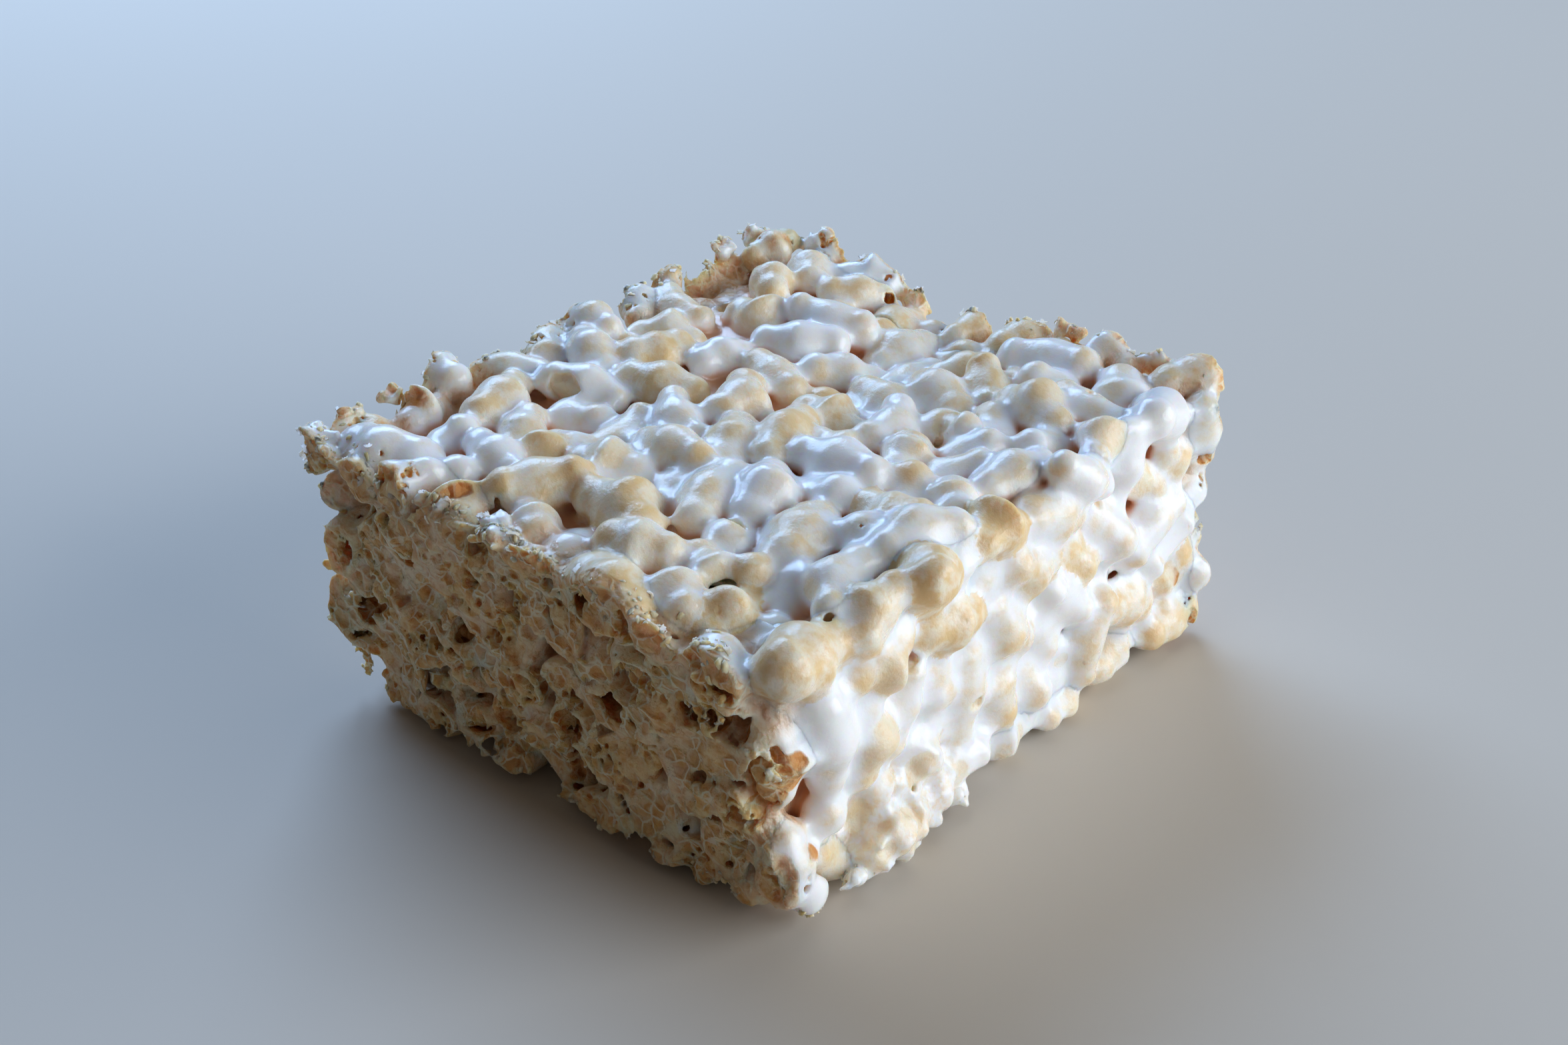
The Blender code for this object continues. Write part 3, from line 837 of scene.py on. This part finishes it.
def make_batch():
    """The whole treat as a field: below zero inside the food, above it outside."""
    shape = bpy.context.scene.treat_shape
    voxels = Voxels(shape.voxel)
    crisps, faces = shown_crisps()
    count = len(faces)
    rng = np.random.default_rng(SEED + 10)
    bends = np.cross(rng.normal(size=(count, 3)), crisps[1])
    bends *= BEND * rng.uniform(0, 1, (count, 1)) / np.linalg.norm(bends, axis=1, keepdims=True)
    near, owner, joined, tip = lay_crisps(voxels, crisps, bends)
    depths = face_depths(voxels)
    cut_depth = least_depth(depths, ("left_cut", "right_cut", "back_cut"))
    deep = np.minimum(least_depth(depths, ("top", "pan_side", "underside")), cut_depth)

    lumps = waves(voxels, "lumps") * np.float32(LUMPS)
    lumps += waves(voxels, "fine lumps") * np.float32(FINE_LUMPS)
    wet = waves(voxels, "wet")
    field = coat_with_film(voxels, joined, depths, cut_depth, deep, lumps, wet, shape)
    for spot in BLOBS:
        part, away = egg(voxels, spot)
        field[part] = smooth_min(field[part], away + lumps[part] * 2, "blob")
    part, away = egg(voxels, CRUMBLY + CRUMBLY_REACH)
    crumbly = voxels.full(0.0)
    away = away + waves(voxels, "crumbly edge")[part] * np.float32(CRUMBLY_STRAY)
    crumbly[part] = smoothstep(0, -CRUMBLY_EDGE, away)
    field += crumbly * waves(voxels, "crumbly").clip(-1, 2) * np.float32(CRUMBLY_ROUGH)
    add_web(voxels, field)
    field, knife, torn = cut_sides(voxels, field, near, owner, cut_depth, depths["top"], rng, shape)
    for spot in HOLES:
        part, away = egg(voxels, spot)
        hole = np.minimum(-away + torn[part], near[part] + np.float32(HOLE_BITE))
        field[part] = smooth_max(field[part], hole, "hole")
    for spot in TUFTS:
        part, away = egg(voxels, spot)
        tuft = away + torn[part] * np.float32(1.3)
        field[part] = smooth_min(field[part], tuft, "tuft")

    lift = smoothstep(*FOOT_DEPTH, np.minimum(cut_depth, depths["pan_side"]))
    lift = lift * np.clip(0.4 + 0.6 * waves(voxels, "foot"), 0, 1.3) * np.float32(shape.lift)
    field = smooth_max(field, lift - voxels.z, "foot")
    reach = int(round(HUG_REACH / voxels.step))
    hug = blur((field < 0).astype(np.float32), reach, 2)
    tint = np.append(rng.uniform(size=count), 0.5).astype(np.float32)
    for number, bareness in BARE_CRISPS.items():
        tint[number] = bareness
    return {
        "voxels": voxels,
        "field": field.astype(np.float32),
        "near": near,
        "owner": owner,
        "depths": depths,
        "deep": deep,
        "faces": faces,
        "tint": tint,
        "tip": tip,
        "hug": hug,
        "cut": -knife,
        "crumbly": crumbly,
    }


_kept = {}


def batch():
    """The batch, worked out once and then shared by every piece."""
    if "batch" not in _kept:
        _kept["batch"] = make_batch()
    return _kept["batch"]


def sample(values, places):
    """The values of a field at places given in voxels, from the eight voxels round each."""
    base = np.clip(np.floor(places).astype(int), 0, np.array(values.shape) - 2)
    t = (places - base).astype(np.float32)
    total = 0.0
    for corner in range(8):
        step = np.array((corner & 1, corner >> 1 & 1, corner >> 2 & 1))
        weight = np.prod(np.where(step, t, 1 - t), axis=1)
        at = base + step
        total = total + weight * values[at[:, 0], at[:, 1], at[:, 2]]
    return total


def main_body(count, triangles, quads):
    """Marks the corners of the largest connected piece of a mesh."""
    pairs = [triangles[:, [0, 1]], triangles[:, [1, 2]]] if len(triangles) else []
    pairs += [quads[:, [0, 1]], quads[:, [1, 2]], quads[:, [2, 3]]] if len(quads) else []
    pairs = np.concatenate(pairs).astype(np.int64)
    label = np.arange(count)
    while True:
        low = np.minimum(label[pairs[:, 0]], label[pairs[:, 1]])
        fresh = label.copy()
        np.minimum.at(fresh, label[pairs[:, 0]], low)
        np.minimum.at(fresh, label[pairs[:, 1]], low)
        fresh = fresh[fresh]
        fresh = fresh[fresh]
        if np.array_equal(fresh, label):
            break
        label = fresh
    names, sizes = np.unique(label, return_counts=True)
    return label == names[sizes.argmax()]


def face_field(dough, face):
    """The part of the field that one face's piece is made of, and where it starts."""
    voxels, depths = dough["voxels"], dough["depths"]
    index = FACES.index(face)
    owner_face = np.append(dough["faces"], -1)[dough["owner"]]
    others = np.stack([np.broadcast_to(depths[name], voxels.shape) for name in FACES])
    nearest = others.argmin(axis=0)
    owner_face = np.where(owner_face < 0, nearest, owner_face)
    mine = (owner_face == index).astype(np.float32)
    mine = blur(mine, max(1, int(round(OVERLAP_BLUR / voxels.step))), 2)
    hide = smoothstep(0.5, 0.1, mine) * np.float32(RECEDE)
    field = dough["field"] + hide
    field = np.maximum(field, (0.10 - mine) * np.float32(6 * MM))
    field = np.maximum(field, depths[face] - np.float32(SLAB))
    return field, hide


def mesh_from_field(dough, face):
    """The mesh of one face, with what its material needs to know at every corner."""
    voxels = dough["voxels"]
    field, hide = face_field(dough, face)
    points, triangles, quads = surface(np.clip(field, -FIELD_BAND, FIELD_BAND), adapt=ADAPT)
    keep = main_body(len(points), triangles, quads)
    fresh = np.cumsum(keep) - 1
    triangles = fresh[triangles[keep[triangles[:, 0]]].astype(np.int64)] if len(triangles) else triangles
    quads = fresh[quads[keep[quads[:, 0]]].astype(np.int64)]
    points = points[keep]
    loops = np.concatenate((triangles.ravel(), quads.ravel())).astype(np.int32)
    starts = np.concatenate((
        np.arange(len(triangles)) * 3,
        len(triangles) * 3 + np.arange(len(quads)) * 4,
    )).astype(np.int32)
    mesh = bpy.data.meshes.new(face)
    mesh.vertices.add(len(points))
    mesh.loops.add(len(loops))
    mesh.polygons.add(len(starts))
    places = points * voxels.step + voxels.low
    mesh.vertices.foreach_set("co", places.astype(np.float32).ravel())
    mesh.loops.foreach_set("vertex_index", loops)
    mesh.polygons.foreach_set("loop_start", starts)
    mesh.polygons.foreach_set("use_smooth", np.ones(len(starts), dtype=bool))
    mesh.update()
    mesh.validate()
    around = np.rint(points).astype(int)
    tint = dough["tint"][dough["owner"][around[:, 0], around[:, 1], around[:, 2]]]
    give(mesh, "coat", (sample(dough["near"], points) + sample(hide, points)) / MM)
    give(mesh, "sunk", sample(dough["deep"], points) / MM)
    give(mesh, "tip", sample(dough["tip"], points))
    give(mesh, "pan", (places[:, 1] - PAN_WALL) / MM)
    ceiling = top_height(places[:, 0], places[:, 1])
    give(mesh, "below", np.minimum(ceiling - places[:, 2], places[:, 1] - PAN_WALL) / MM)
    give(mesh, "hug", sample(dough["hug"], points))
    give(mesh, "cut", sample(dough["cut"], points) / MM)
    give(mesh, "crumbly", sample(dough["crumbly"], points))
    give(mesh, "tint", tint)
    return mesh


def add_object(name, data):
    thing = bpy.data.objects.new(name, data)
    bpy.context.scene.collection.objects.link(thing)
    return thing


def add_piece(name, mesh, material):
    """Adds a mesh as a visible piece of the treat, in place of its solid."""
    mesh.materials.append(material)
    piece = add_object(name, mesh)
    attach(piece, "root")
    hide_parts("treat")


def give(mesh, name, values):
    """Keeps a value at every corner of a mesh, for its material to read."""
    layer = mesh.attributes.new(name, "FLOAT", "POINT")
    layer.data.foreach_set("value", np.ascontiguousarray(values, dtype=np.float32))


def thin_out(mesh, most):
    """The mesh with no more than the given number of triangles."""
    mesh.calc_loop_triangles()
    count = len(mesh.loop_triangles)
    if count <= most:
        return mesh
    helper = add_object("helper", mesh)
    fewer = helper.modifiers.new("fewer", "DECIMATE")
    fewer.ratio = most / count
    graph = bpy.context.evaluated_depsgraph_get()
    thin = bpy.data.meshes.new_from_object(helper.evaluated_get(graph))
    thin.name = mesh.name
    bpy.data.objects.remove(helper)
    return thin


class Value:
    """A socket of a shader's node tree, so that shader maths can be written as Python."""

    def __init__(self, paint, socket):
        self.paint = paint
        self.socket = socket

    def maths(self, operation, *values):
        inputs = dict(enumerate(values))
        return self.paint.add("ShaderNodeMath", {"operation": operation}, inputs)

    def __add__(self, other):
        return self.maths("ADD", self, other)

    __radd__ = __add__

    def __sub__(self, other):
        return self.maths("SUBTRACT", self, other)

    def __rsub__(self, other):
        return self.maths("SUBTRACT", other, self)

    def __mul__(self, other):
        return self.maths("MULTIPLY", self, other)

    __rmul__ = __mul__

    def ramp(self, low, high):
        """0 where the value is low or less, 1 where it is high or more, smooth between."""
        return self.paint.add(
            "ShaderNodeMapRange",
            {"interpolation_type": "SMOOTHSTEP"},
            {"Value": self, "From Min": low, "From Max": high},
        )


class Paint:
    """The node tree of one material."""

    def __init__(self, name):
        self.material = bpy.data.materials.new(name)
        self.material.use_nodes = True
        self.tree = self.material.node_tree
        self.tree.nodes.clear()

    def add(self, kind, settings=None, inputs=None, output=0):
        node = self.tree.nodes.new(kind)
        for name, value in (settings or {}).items():
            setattr(node, name, value)
        for name, value in (inputs or {}).items():
            socket = node.inputs[name]
            if isinstance(value, Value):
                self.tree.links.new(value.socket, socket)
            elif socket.type == "RGBA":
                socket.default_value = (*value[:3], 1.0)
            else:
                socket.default_value = value
        return Value(self, node.outputs[output] if node.outputs else None)

    def read(self, name):
        return self.add("ShaderNodeAttribute", {"attribute_name": name}, output=2)

    def noise(self, size, detail=2.0, rough=0.5):
        place = self.add("ShaderNodeTexCoord", output=3)
        return self.add(
            "ShaderNodeTexNoise",
            {},
            {"Vector": place, "Scale": 1 / size, "Detail": detail, "Roughness": rough},
        )

    def bubbles(self, size, sway):
        """How far inside a bubble a place is: 0 at the walls, about a half in the middle."""
        place = self.add("ShaderNodeTexCoord", output=3)
        swing = self.add(
            "ShaderNodeTexNoise", {}, {"Vector": place, "Scale": 1 / size, "Detail": 2.0}, output=1
        )
        swing = self.add(
            "ShaderNodeVectorMath",
            {"operation": "MULTIPLY_ADD"},
            {0: swing, 1: (sway, sway, sway), 2: place},
        )
        return self.add(
            "ShaderNodeTexVoronoi",
            {"feature": "DISTANCE_TO_EDGE"},
            {"Vector": swing, "Scale": 1 / size},
        )

    def mix(self, share, first, second):
        return self.add(
            "ShaderNodeMix", {"data_type": "RGBA"}, {0: share, 6: first, 7: second}, output=2
        )

    def bump(self, height, distance, strength=1.0, normal=None):
        inputs = {"Height": height, "Distance": distance, "Strength": strength}
        if normal:
            inputs["Normal"] = normal
        return self.add("ShaderNodeBump", {}, inputs)

    def finish(self, inputs, settings=None):
        shader = self.add("ShaderNodeBsdfPrincipled", settings or {}, inputs)
        self.add("ShaderNodeOutputMaterial", {}, {"Surface": shader})
        return self.material


def treat_material():
    """Film over crisps, which shows them at their crests and tips, and open crumb at the cuts, with
    painted shade in the gaps, the pits and the cells.
    """
    colours = bpy.context.scene.treat_colours
    paint = Paint("marshmallow_and_crisps")
    coat, sunk, tint, hug, cut, tip, below = (
        paint.read(name) for name in ("coat", "sunk", "tint", "hug", "cut", "tip", "below")
    )
    pan = paint.read("pan").ramp(4.0, 1.5)
    inside = coat.ramp(0.02, -0.08)
    patch = paint.noise(2.6 * MM, 3.0)
    blotch = paint.noise(1.2 * MM, 4.0)
    fine = paint.noise(0.45 * MM, 4.0, 0.6)
    grit = paint.noise(0.2 * MM, 3.0, 0.6)
    golden = paint.mix(tint * (patch + blotch).ramp(0.85, 1.25), colours.crisp, colours.crisp_golden)
    golden = paint.mix((tip + (patch - 0.5) * 1.5).ramp(0.85, 1.15) * 0.45, golden, colours.crisp_tip)
    golden = paint.mix((fine + grit * 0.5).ramp(0.76, 0.92) * 0.35, golden, colours.crisp_tip)
    bare = (blotch - 0.5) * 0.9 + (patch - 0.5) * 1.1 + (0.52 - hug) * 0.9 + (tint - 0.5) * 0.9
    bare = bare - pan * 0.10 + inside * 0.4
    film_share = 1 - (bare + 0.26 - coat * 1.0).ramp(-0.3, 0.7) * 0.95
    # Painted shade: darker orange the deeper under the cut and the more hollow the place
    pit_shade = (cut * 0.30 + (hug - 0.5) * 1.2 + (blotch - 0.5) * 0.4).ramp(0.2, 0.95)
    bubble = paint.bubbles(1.2 * MM, 0.6 * MM)
    bubbly = (patch + blotch * 0.6).ramp(0.69, 0.88)
    crumb = paint.mix((blotch + fine * 0.6).ramp(0.60, 1.0), colours.crumb, colours.crumb_golden_and_cell_shade)
    # Painted shade: each small cell darkens to golden towards its middle, with the cut film's colour
    # along its walls
    crumb = paint.mix(bubble.ramp(0.10, 0.36) * bubbly * 0.9, crumb, colours.crumb_golden_and_cell_shade)
    crumb = paint.mix(bubble.ramp(0.09, 0.03) * bubbly * 0.8, crumb, colours.film_cut)
    crumb = paint.mix(pit_shade, crumb, colours.pit_shade)
    near_cut = cut.ramp(5.0, 3.5)
    # Painted shade: the film turns dark orange where the place is hollow and sunk deep under the faces
    deep = ((hug - 0.5) * 1.6 + sunk * 0.22).ramp(0.45, 1.0)
    speck = (grit + fine * 0.4).ramp(0.93, 1.02)
    film = paint.mix(speck * 0.45, colours.film, colours.film_speck)
    film = paint.mix(deep, film, colours.film_gap_shade)
    film = paint.mix(near_cut * below.ramp(0.8, 2.0) * 0.6, film, colours.film_cut)
    colour = paint.mix(film_share, golden, film)
    flesh = near_cut * below.ramp(0.9, 2.2) * (blotch * 1.6 - 0.3)
    opened = flesh.maths("MAXIMUM", flesh, inside * near_cut)
    opened = opened.maths("MAXIMUM", opened, cut.ramp(0.7, 0.2) * (0.5 + blotch * 0.5))
    crumbly = paint.read("crumbly") * (blotch + fine).ramp(0.8, 1.2)
    colour = paint.mix(opened, colour, crumb)
    colour = paint.mix(crumbly * 0.6, colour, paint.mix(fine.ramp(0.4, 0.6), colours.film_cut, golden))
    rough = 0.19 + (1 - film_share) * 0.12 + opened * 0.35 + (fine - 0.5) * 0.15
    normal = paint.bump(fine * (1.4 - film_share), 0.08 * MM, 0.8)
    normal = paint.bump(grit * opened, 0.10 * MM, 0.8, normal)
    normal = paint.bump((1 - bubble.ramp(0.03, 0.35)) * bubbly * opened, 0.36 * MM, 0.9, normal)
    return paint.finish({
        "Base Color": colour,
        "Roughness": rough,
        "IOR": 1.45,
        "Normal": normal,
        "Coat Weight": (1 - opened) * 0.10,
        "Coat Roughness": 0.08,
        "Subsurface Weight": 0.85,
        "Subsurface Radius": (1.0, 0.64, 0.42),
        "Subsurface Scale": 1.3 * MM,
    })


def crumb_material():
    """Torn crumb: pale, with golden patches."""
    colours = bpy.context.scene.treat_colours
    paint = Paint("torn_crumb")
    patch = paint.noise(1.6 * MM, 3.0)
    fine = paint.noise(0.3 * MM, 4.0, 0.6)
    pale = paint.mix(patch.ramp(0.4, 0.65), colours.torn, colours.torn_golden)
    colour = paint.mix((fine - 0.1).ramp(0.45, 0.7) * 0.25, pale, colours.crumb_golden_and_cell_shade)
    return paint.finish({
        "Base Color": colour,
        "Roughness": 0.45 + (fine - 0.5) * 0.3,
        "IOR": 1.45,
        "Normal": paint.bump(fine, 0.08 * MM, 0.9),
        "Subsurface Weight": 0.9,
        "Subsurface Radius": (1.0, 0.78, 0.6),
        "Subsurface Scale": 1.0 * MM,
    })


def build_face(face, material):
    """One face of the treat as a piece of its own."""
    mesh = mesh_from_field(batch(), face)
    mesh = thin_out(mesh, MOST_TRIANGLES[face] * (1))
    add_piece(face, mesh, material)


def settle(dough, places):
    """Moves places onto the treat's surface. Gives them, the way out, and which of them did."""
    voxels, field = dough["voxels"], dough["field"]
    spots = (places - voxels.low) / voxels.step
    for _ in range(SETTLE_ROUNDS):
        value = sample(field, spots)
        slope = np.stack([
            sample(field, spots + step) - sample(field, spots - step) for step in np.eye(3)
        ], axis=1) / 2
        steep = np.linalg.norm(slope, axis=1) + 1e-9
        outward = slope / steep[:, None]
        spots = spots - outward * np.clip(value / steep, -LONGEST_STEP, LONGEST_STEP)[:, None]
    free = sample(field, spots + outward * MM / voxels.step) > ROOM_IN_FRONT
    there = (abs(sample(field, spots)) < MEETS_SURFACE) & free
    there &= spots[:, 2] * voxels.step + voxels.low[2] > OVER_TABLE
    return spots * voxels.step + voxels.low, outward, there


def touching(places):
    """Which places are on the faces of the treat, not on a scrap that was left out."""
    trees = []
    for face in FACES:
        mesh = bmesh.new()
        mesh.from_mesh(bpy.data.objects[face].data)
        trees.append(BVHTree.FromBMesh(mesh))
        mesh.free()
    return np.array([
        any(tree.find_nearest(place, MEETS_PIECE)[0] is not None for tree in trees)
        for place in places
    ])


def row_places(rows, rng):
    """Random places round the given lines, with the size of the bit at each."""
    places, sizes = [], []
    for start, end, stray, count, largest in rows:
        along = rng.uniform(0, 1, (count, 1))
        line = np.array(start) + (np.array(end) - np.array(start)) * along
        places.append(line + rng.normal(0, stray / 2, (count, 3)))
        sizes.append(largest * rng.uniform(0.35, 1.0, count) ** 1.5)
    places = np.concatenate(places) * MM + np.array(NEAR_CORNER)
    return places, np.concatenate(sizes) * MM


def facing(outward, rng):
    """A frame with its Z along a direction, turned at random about it."""
    turn = Vector(outward).to_track_quat("Z", "Y").to_matrix()
    return turn @ Matrix.Rotation(rng.uniform(0, math.tau), 3, "Z")


def add_crumb(mesh, place, outward, size, rng):
    """One torn bit: a small jagged lump, flatter one way than the other."""
    made = bmesh.ops.create_icosphere(mesh, subdivisions=2, radius=1.0)
    frame_of_crumb = facing(outward, rng)
    shape = rng.uniform((0.5, 0.3, 0.25), (1.0, 0.6, 0.7)) * size
    for vert in made["verts"]:
        rough = 1 + rng.uniform(-0.30, 0.35)
        offset = Vector(np.array(vert.co) * shape * rough)
        vert.co = Vector(place) + frame_of_crumb @ offset


def add_flake(mesh, place, outward, size, rng):
    """One torn flake of crisp: a thin curled plate with a ragged rim, standing off the food."""
    made = bmesh.ops.create_grid(mesh, x_segments=5, y_segments=4, size=1.0)
    frame_of_flake = facing(outward, rng) @ Matrix.Rotation(rng.uniform(0.5, 1.4), 3, "X")
    curl = rng.uniform(-0.5, 0.5)
    for vert in made["verts"]:
        x, y = vert.co.x, vert.co.y
        if max(abs(x), abs(y)) > 0.99:
            x, y = np.array((x, y)) * rng.uniform(0.6, 1.15)
        offset = Vector((x * 1.2, y + 0.7, curl * (x * x + 0.5 * y * y) + rng.uniform(-0.08, 0.08)))
        vert.co = Vector(place) + frame_of_flake @ (offset * size)
    faces = list(dict.fromkeys(face for vert in made["verts"] for face in vert.link_faces))
    bmesh.ops.solidify(mesh, geom=faces, thickness=0.09 * MM)


def finish_bits(name, mesh, material):
    """Makes one piece of a mesh of torn bits."""
    bmesh.ops.recalc_face_normals(mesh, faces=mesh.faces[:])
    for face in mesh.faces:
        face.smooth = True
    data = bpy.data.meshes.new(name)
    mesh.to_mesh(data)
    mesh.free()
    add_piece(name, data, material)


def build_crumbs(material):
    dough = batch()
    rng = np.random.default_rng(SEED + 40)
    places, sizes = row_places(CRUMB_ROWS, rng)
    places, outward, there = settle(dough, places)
    there &= touching(places)
    mesh = bmesh.new()
    for place, way, size in zip(places[there], outward[there], sizes[there]):
        add_crumb(mesh, place - way * size * 0.1, way, size, rng)
    finish_bits("crumbs", mesh, material)


def build_flakes(material):
    count = bpy.context.scene.treat_shape.flakes
    dough = batch()
    rng = np.random.default_rng(SEED + 41)
    rows = [row for row in CRUMB_ROWS if row[0][2] > 2]
    places, sizes = row_places(rows, rng)
    pick = rng.permutation(len(places))[:count * 2]
    places, outward, there = settle(dough, places[pick])
    there &= touching(places)
    mesh = bmesh.new()
    for place, way, size in zip(places[there][:count], outward[there], sizes[pick][there]):
        add_flake(mesh, place - way * size * 0.25, way, size * 0.7, rng)
    finish_bits("flakes", mesh, material)


# The camera, fitted to the corners of the treat in the photograph: its place, the way it looks
# from X towards Y, how far it looks down, and its tilt
EYE = Vector((-112.9, -100.8, 100.0)) * MM
EYE_HEADING = 41.71
EYE_DROP = 29.79
EYE_ROLL = -0.46
FLOOR_SIZE = 1.2


def add_light(name, place, aim, size, power, colour):
    light = bpy.data.lights.new(name, "AREA")
    light.shape = "RECTANGLE"
    light.size, light.size_y = size
    light.energy = power
    light.color = colour
    turn = (Vector(aim) - Vector(place)).to_track_quat("-Z", "Y").to_matrix().to_4x4()
    add_object(name, light).matrix_world = Matrix.Translation(place) @ turn


def build_stage():
    """A plain floor, two soft windows, a dim room, and the camera at the photograph's angle."""
    settings = bpy.context.scene.treat_stage
    mesh = bmesh.new()
    bmesh.ops.create_grid(mesh, x_segments=1, y_segments=1, size=FLOOR_SIZE / 2)
    data = bpy.data.meshes.new("floor")
    mesh.to_mesh(data)
    mesh.free()
    paint = Paint("pale_floor")
    data.materials.append(paint.finish({"Base Color": settings.floor, "Roughness": 0.7}))
    add_object("floor", data)

    camera = bpy.data.cameras.new("camera")
    camera.lens = settings.lens
    camera.clip_start = 5 * MM
    holder = add_object("camera", camera)
    forward = direction(EYE_HEADING, -EYE_DROP)
    turn = forward.to_track_quat("-Z", "Y").to_matrix().to_4x4()
    roll = Matrix.Rotation(math.radians(EYE_ROLL), 4, "Z")
    holder.matrix_world = Matrix.Translation(EYE) @ turn @ roll
    bpy.context.scene.camera = holder

    world = bpy.data.worlds.new("soft_room")
    bpy.context.scene.world = world
    world.use_nodes = True
    background = world.node_tree.nodes["Background"]
    background.inputs["Color"].default_value = (1.0, 0.93, 0.86, 1.0)
    background.inputs["Strength"].default_value = settings.room
    add_light(
        "window_side", (0.24, -0.46, 0.17), (0, 0, 0.012), (0.60, 0.40),
        settings.side_window, (0.86, 0.92, 1.0),
    )
    add_light(
        "window_back", (0.22, 0.46, 0.36), (0, 0, 0.01), (0.50, 0.34),
        settings.back_window, (0.45, 0.66, 1.0),
    )
    bpy.context.scene.view_settings.view_transform = "Standard"


class TREAT_OT_faces(bpy.types.Operator):
    """Makes the six faces of the treat, which replace the solid"""

    bl_idname = "treat.faces"
    bl_label = "Faces"

    def execute(self, context):
        material = treat_material()
        for face in FACES:
            build_face(face, material)
        return {"FINISHED"}


class TREAT_OT_torn_bits(bpy.types.Operator):
    """Makes the torn crumbs and flakes that cling to the edges"""

    bl_idname = "treat.torn_bits"
    bl_label = "Crumbs and flakes"

    def execute(self, context):
        material = crumb_material()
        build_crumbs(material)
        build_flakes(material)
        return {"FINISHED"}


class TREAT_OT_stage(bpy.types.Operator):
    """Sets the floor, the lights and the camera"""

    bl_idname = "treat.stage"
    bl_label = "Stage"

    def execute(self, context):
        build_stage()
        return {"FINISHED"}


class VIEW3D_PT_treat(bpy.types.Panel):
    bl_label = "Rice crispy treat"
    bl_idname = "VIEW3D_PT_treat"
    bl_space_type = "VIEW_3D"
    bl_region_type = "UI"
    bl_category = "Treat"

    def draw(self, context):
        scene = context.scene
        for settings in (scene.treat_shape, scene.treat_colours, scene.treat_stage):
            column = self.layout.column(align=True)
            for name in settings.__annotations__:
                column.prop(settings, name)
        for operator in OPERATORS:
            self.layout.operator(operator.bl_idname)


OPERATORS = (TREAT_OT_stage, TREAT_OT_faces, TREAT_OT_torn_bits)
CLASSES = (TreatShape, TreatColours, TreatStage, *OPERATORS, VIEW3D_PT_treat)


def register():
    for kind in CLASSES:
        bpy.utils.register_class(kind)
    bpy.types.Scene.treat_shape = PointerProperty(type=TreatShape)
    bpy.types.Scene.treat_colours = PointerProperty(type=TreatColours)
    bpy.types.Scene.treat_stage = PointerProperty(type=TreatStage)


def unregister():
    del bpy.types.Scene.treat_stage
    del bpy.types.Scene.treat_colours
    del bpy.types.Scene.treat_shape
    for kind in reversed(CLASSES):
        bpy.utils.unregister_class(kind)


def main():
    register()
    bpy.ops.treat.stage()
    bpy.ops.treat.faces()
    bpy.ops.treat.torn_bits()


if __name__ == "__main__":
    main()
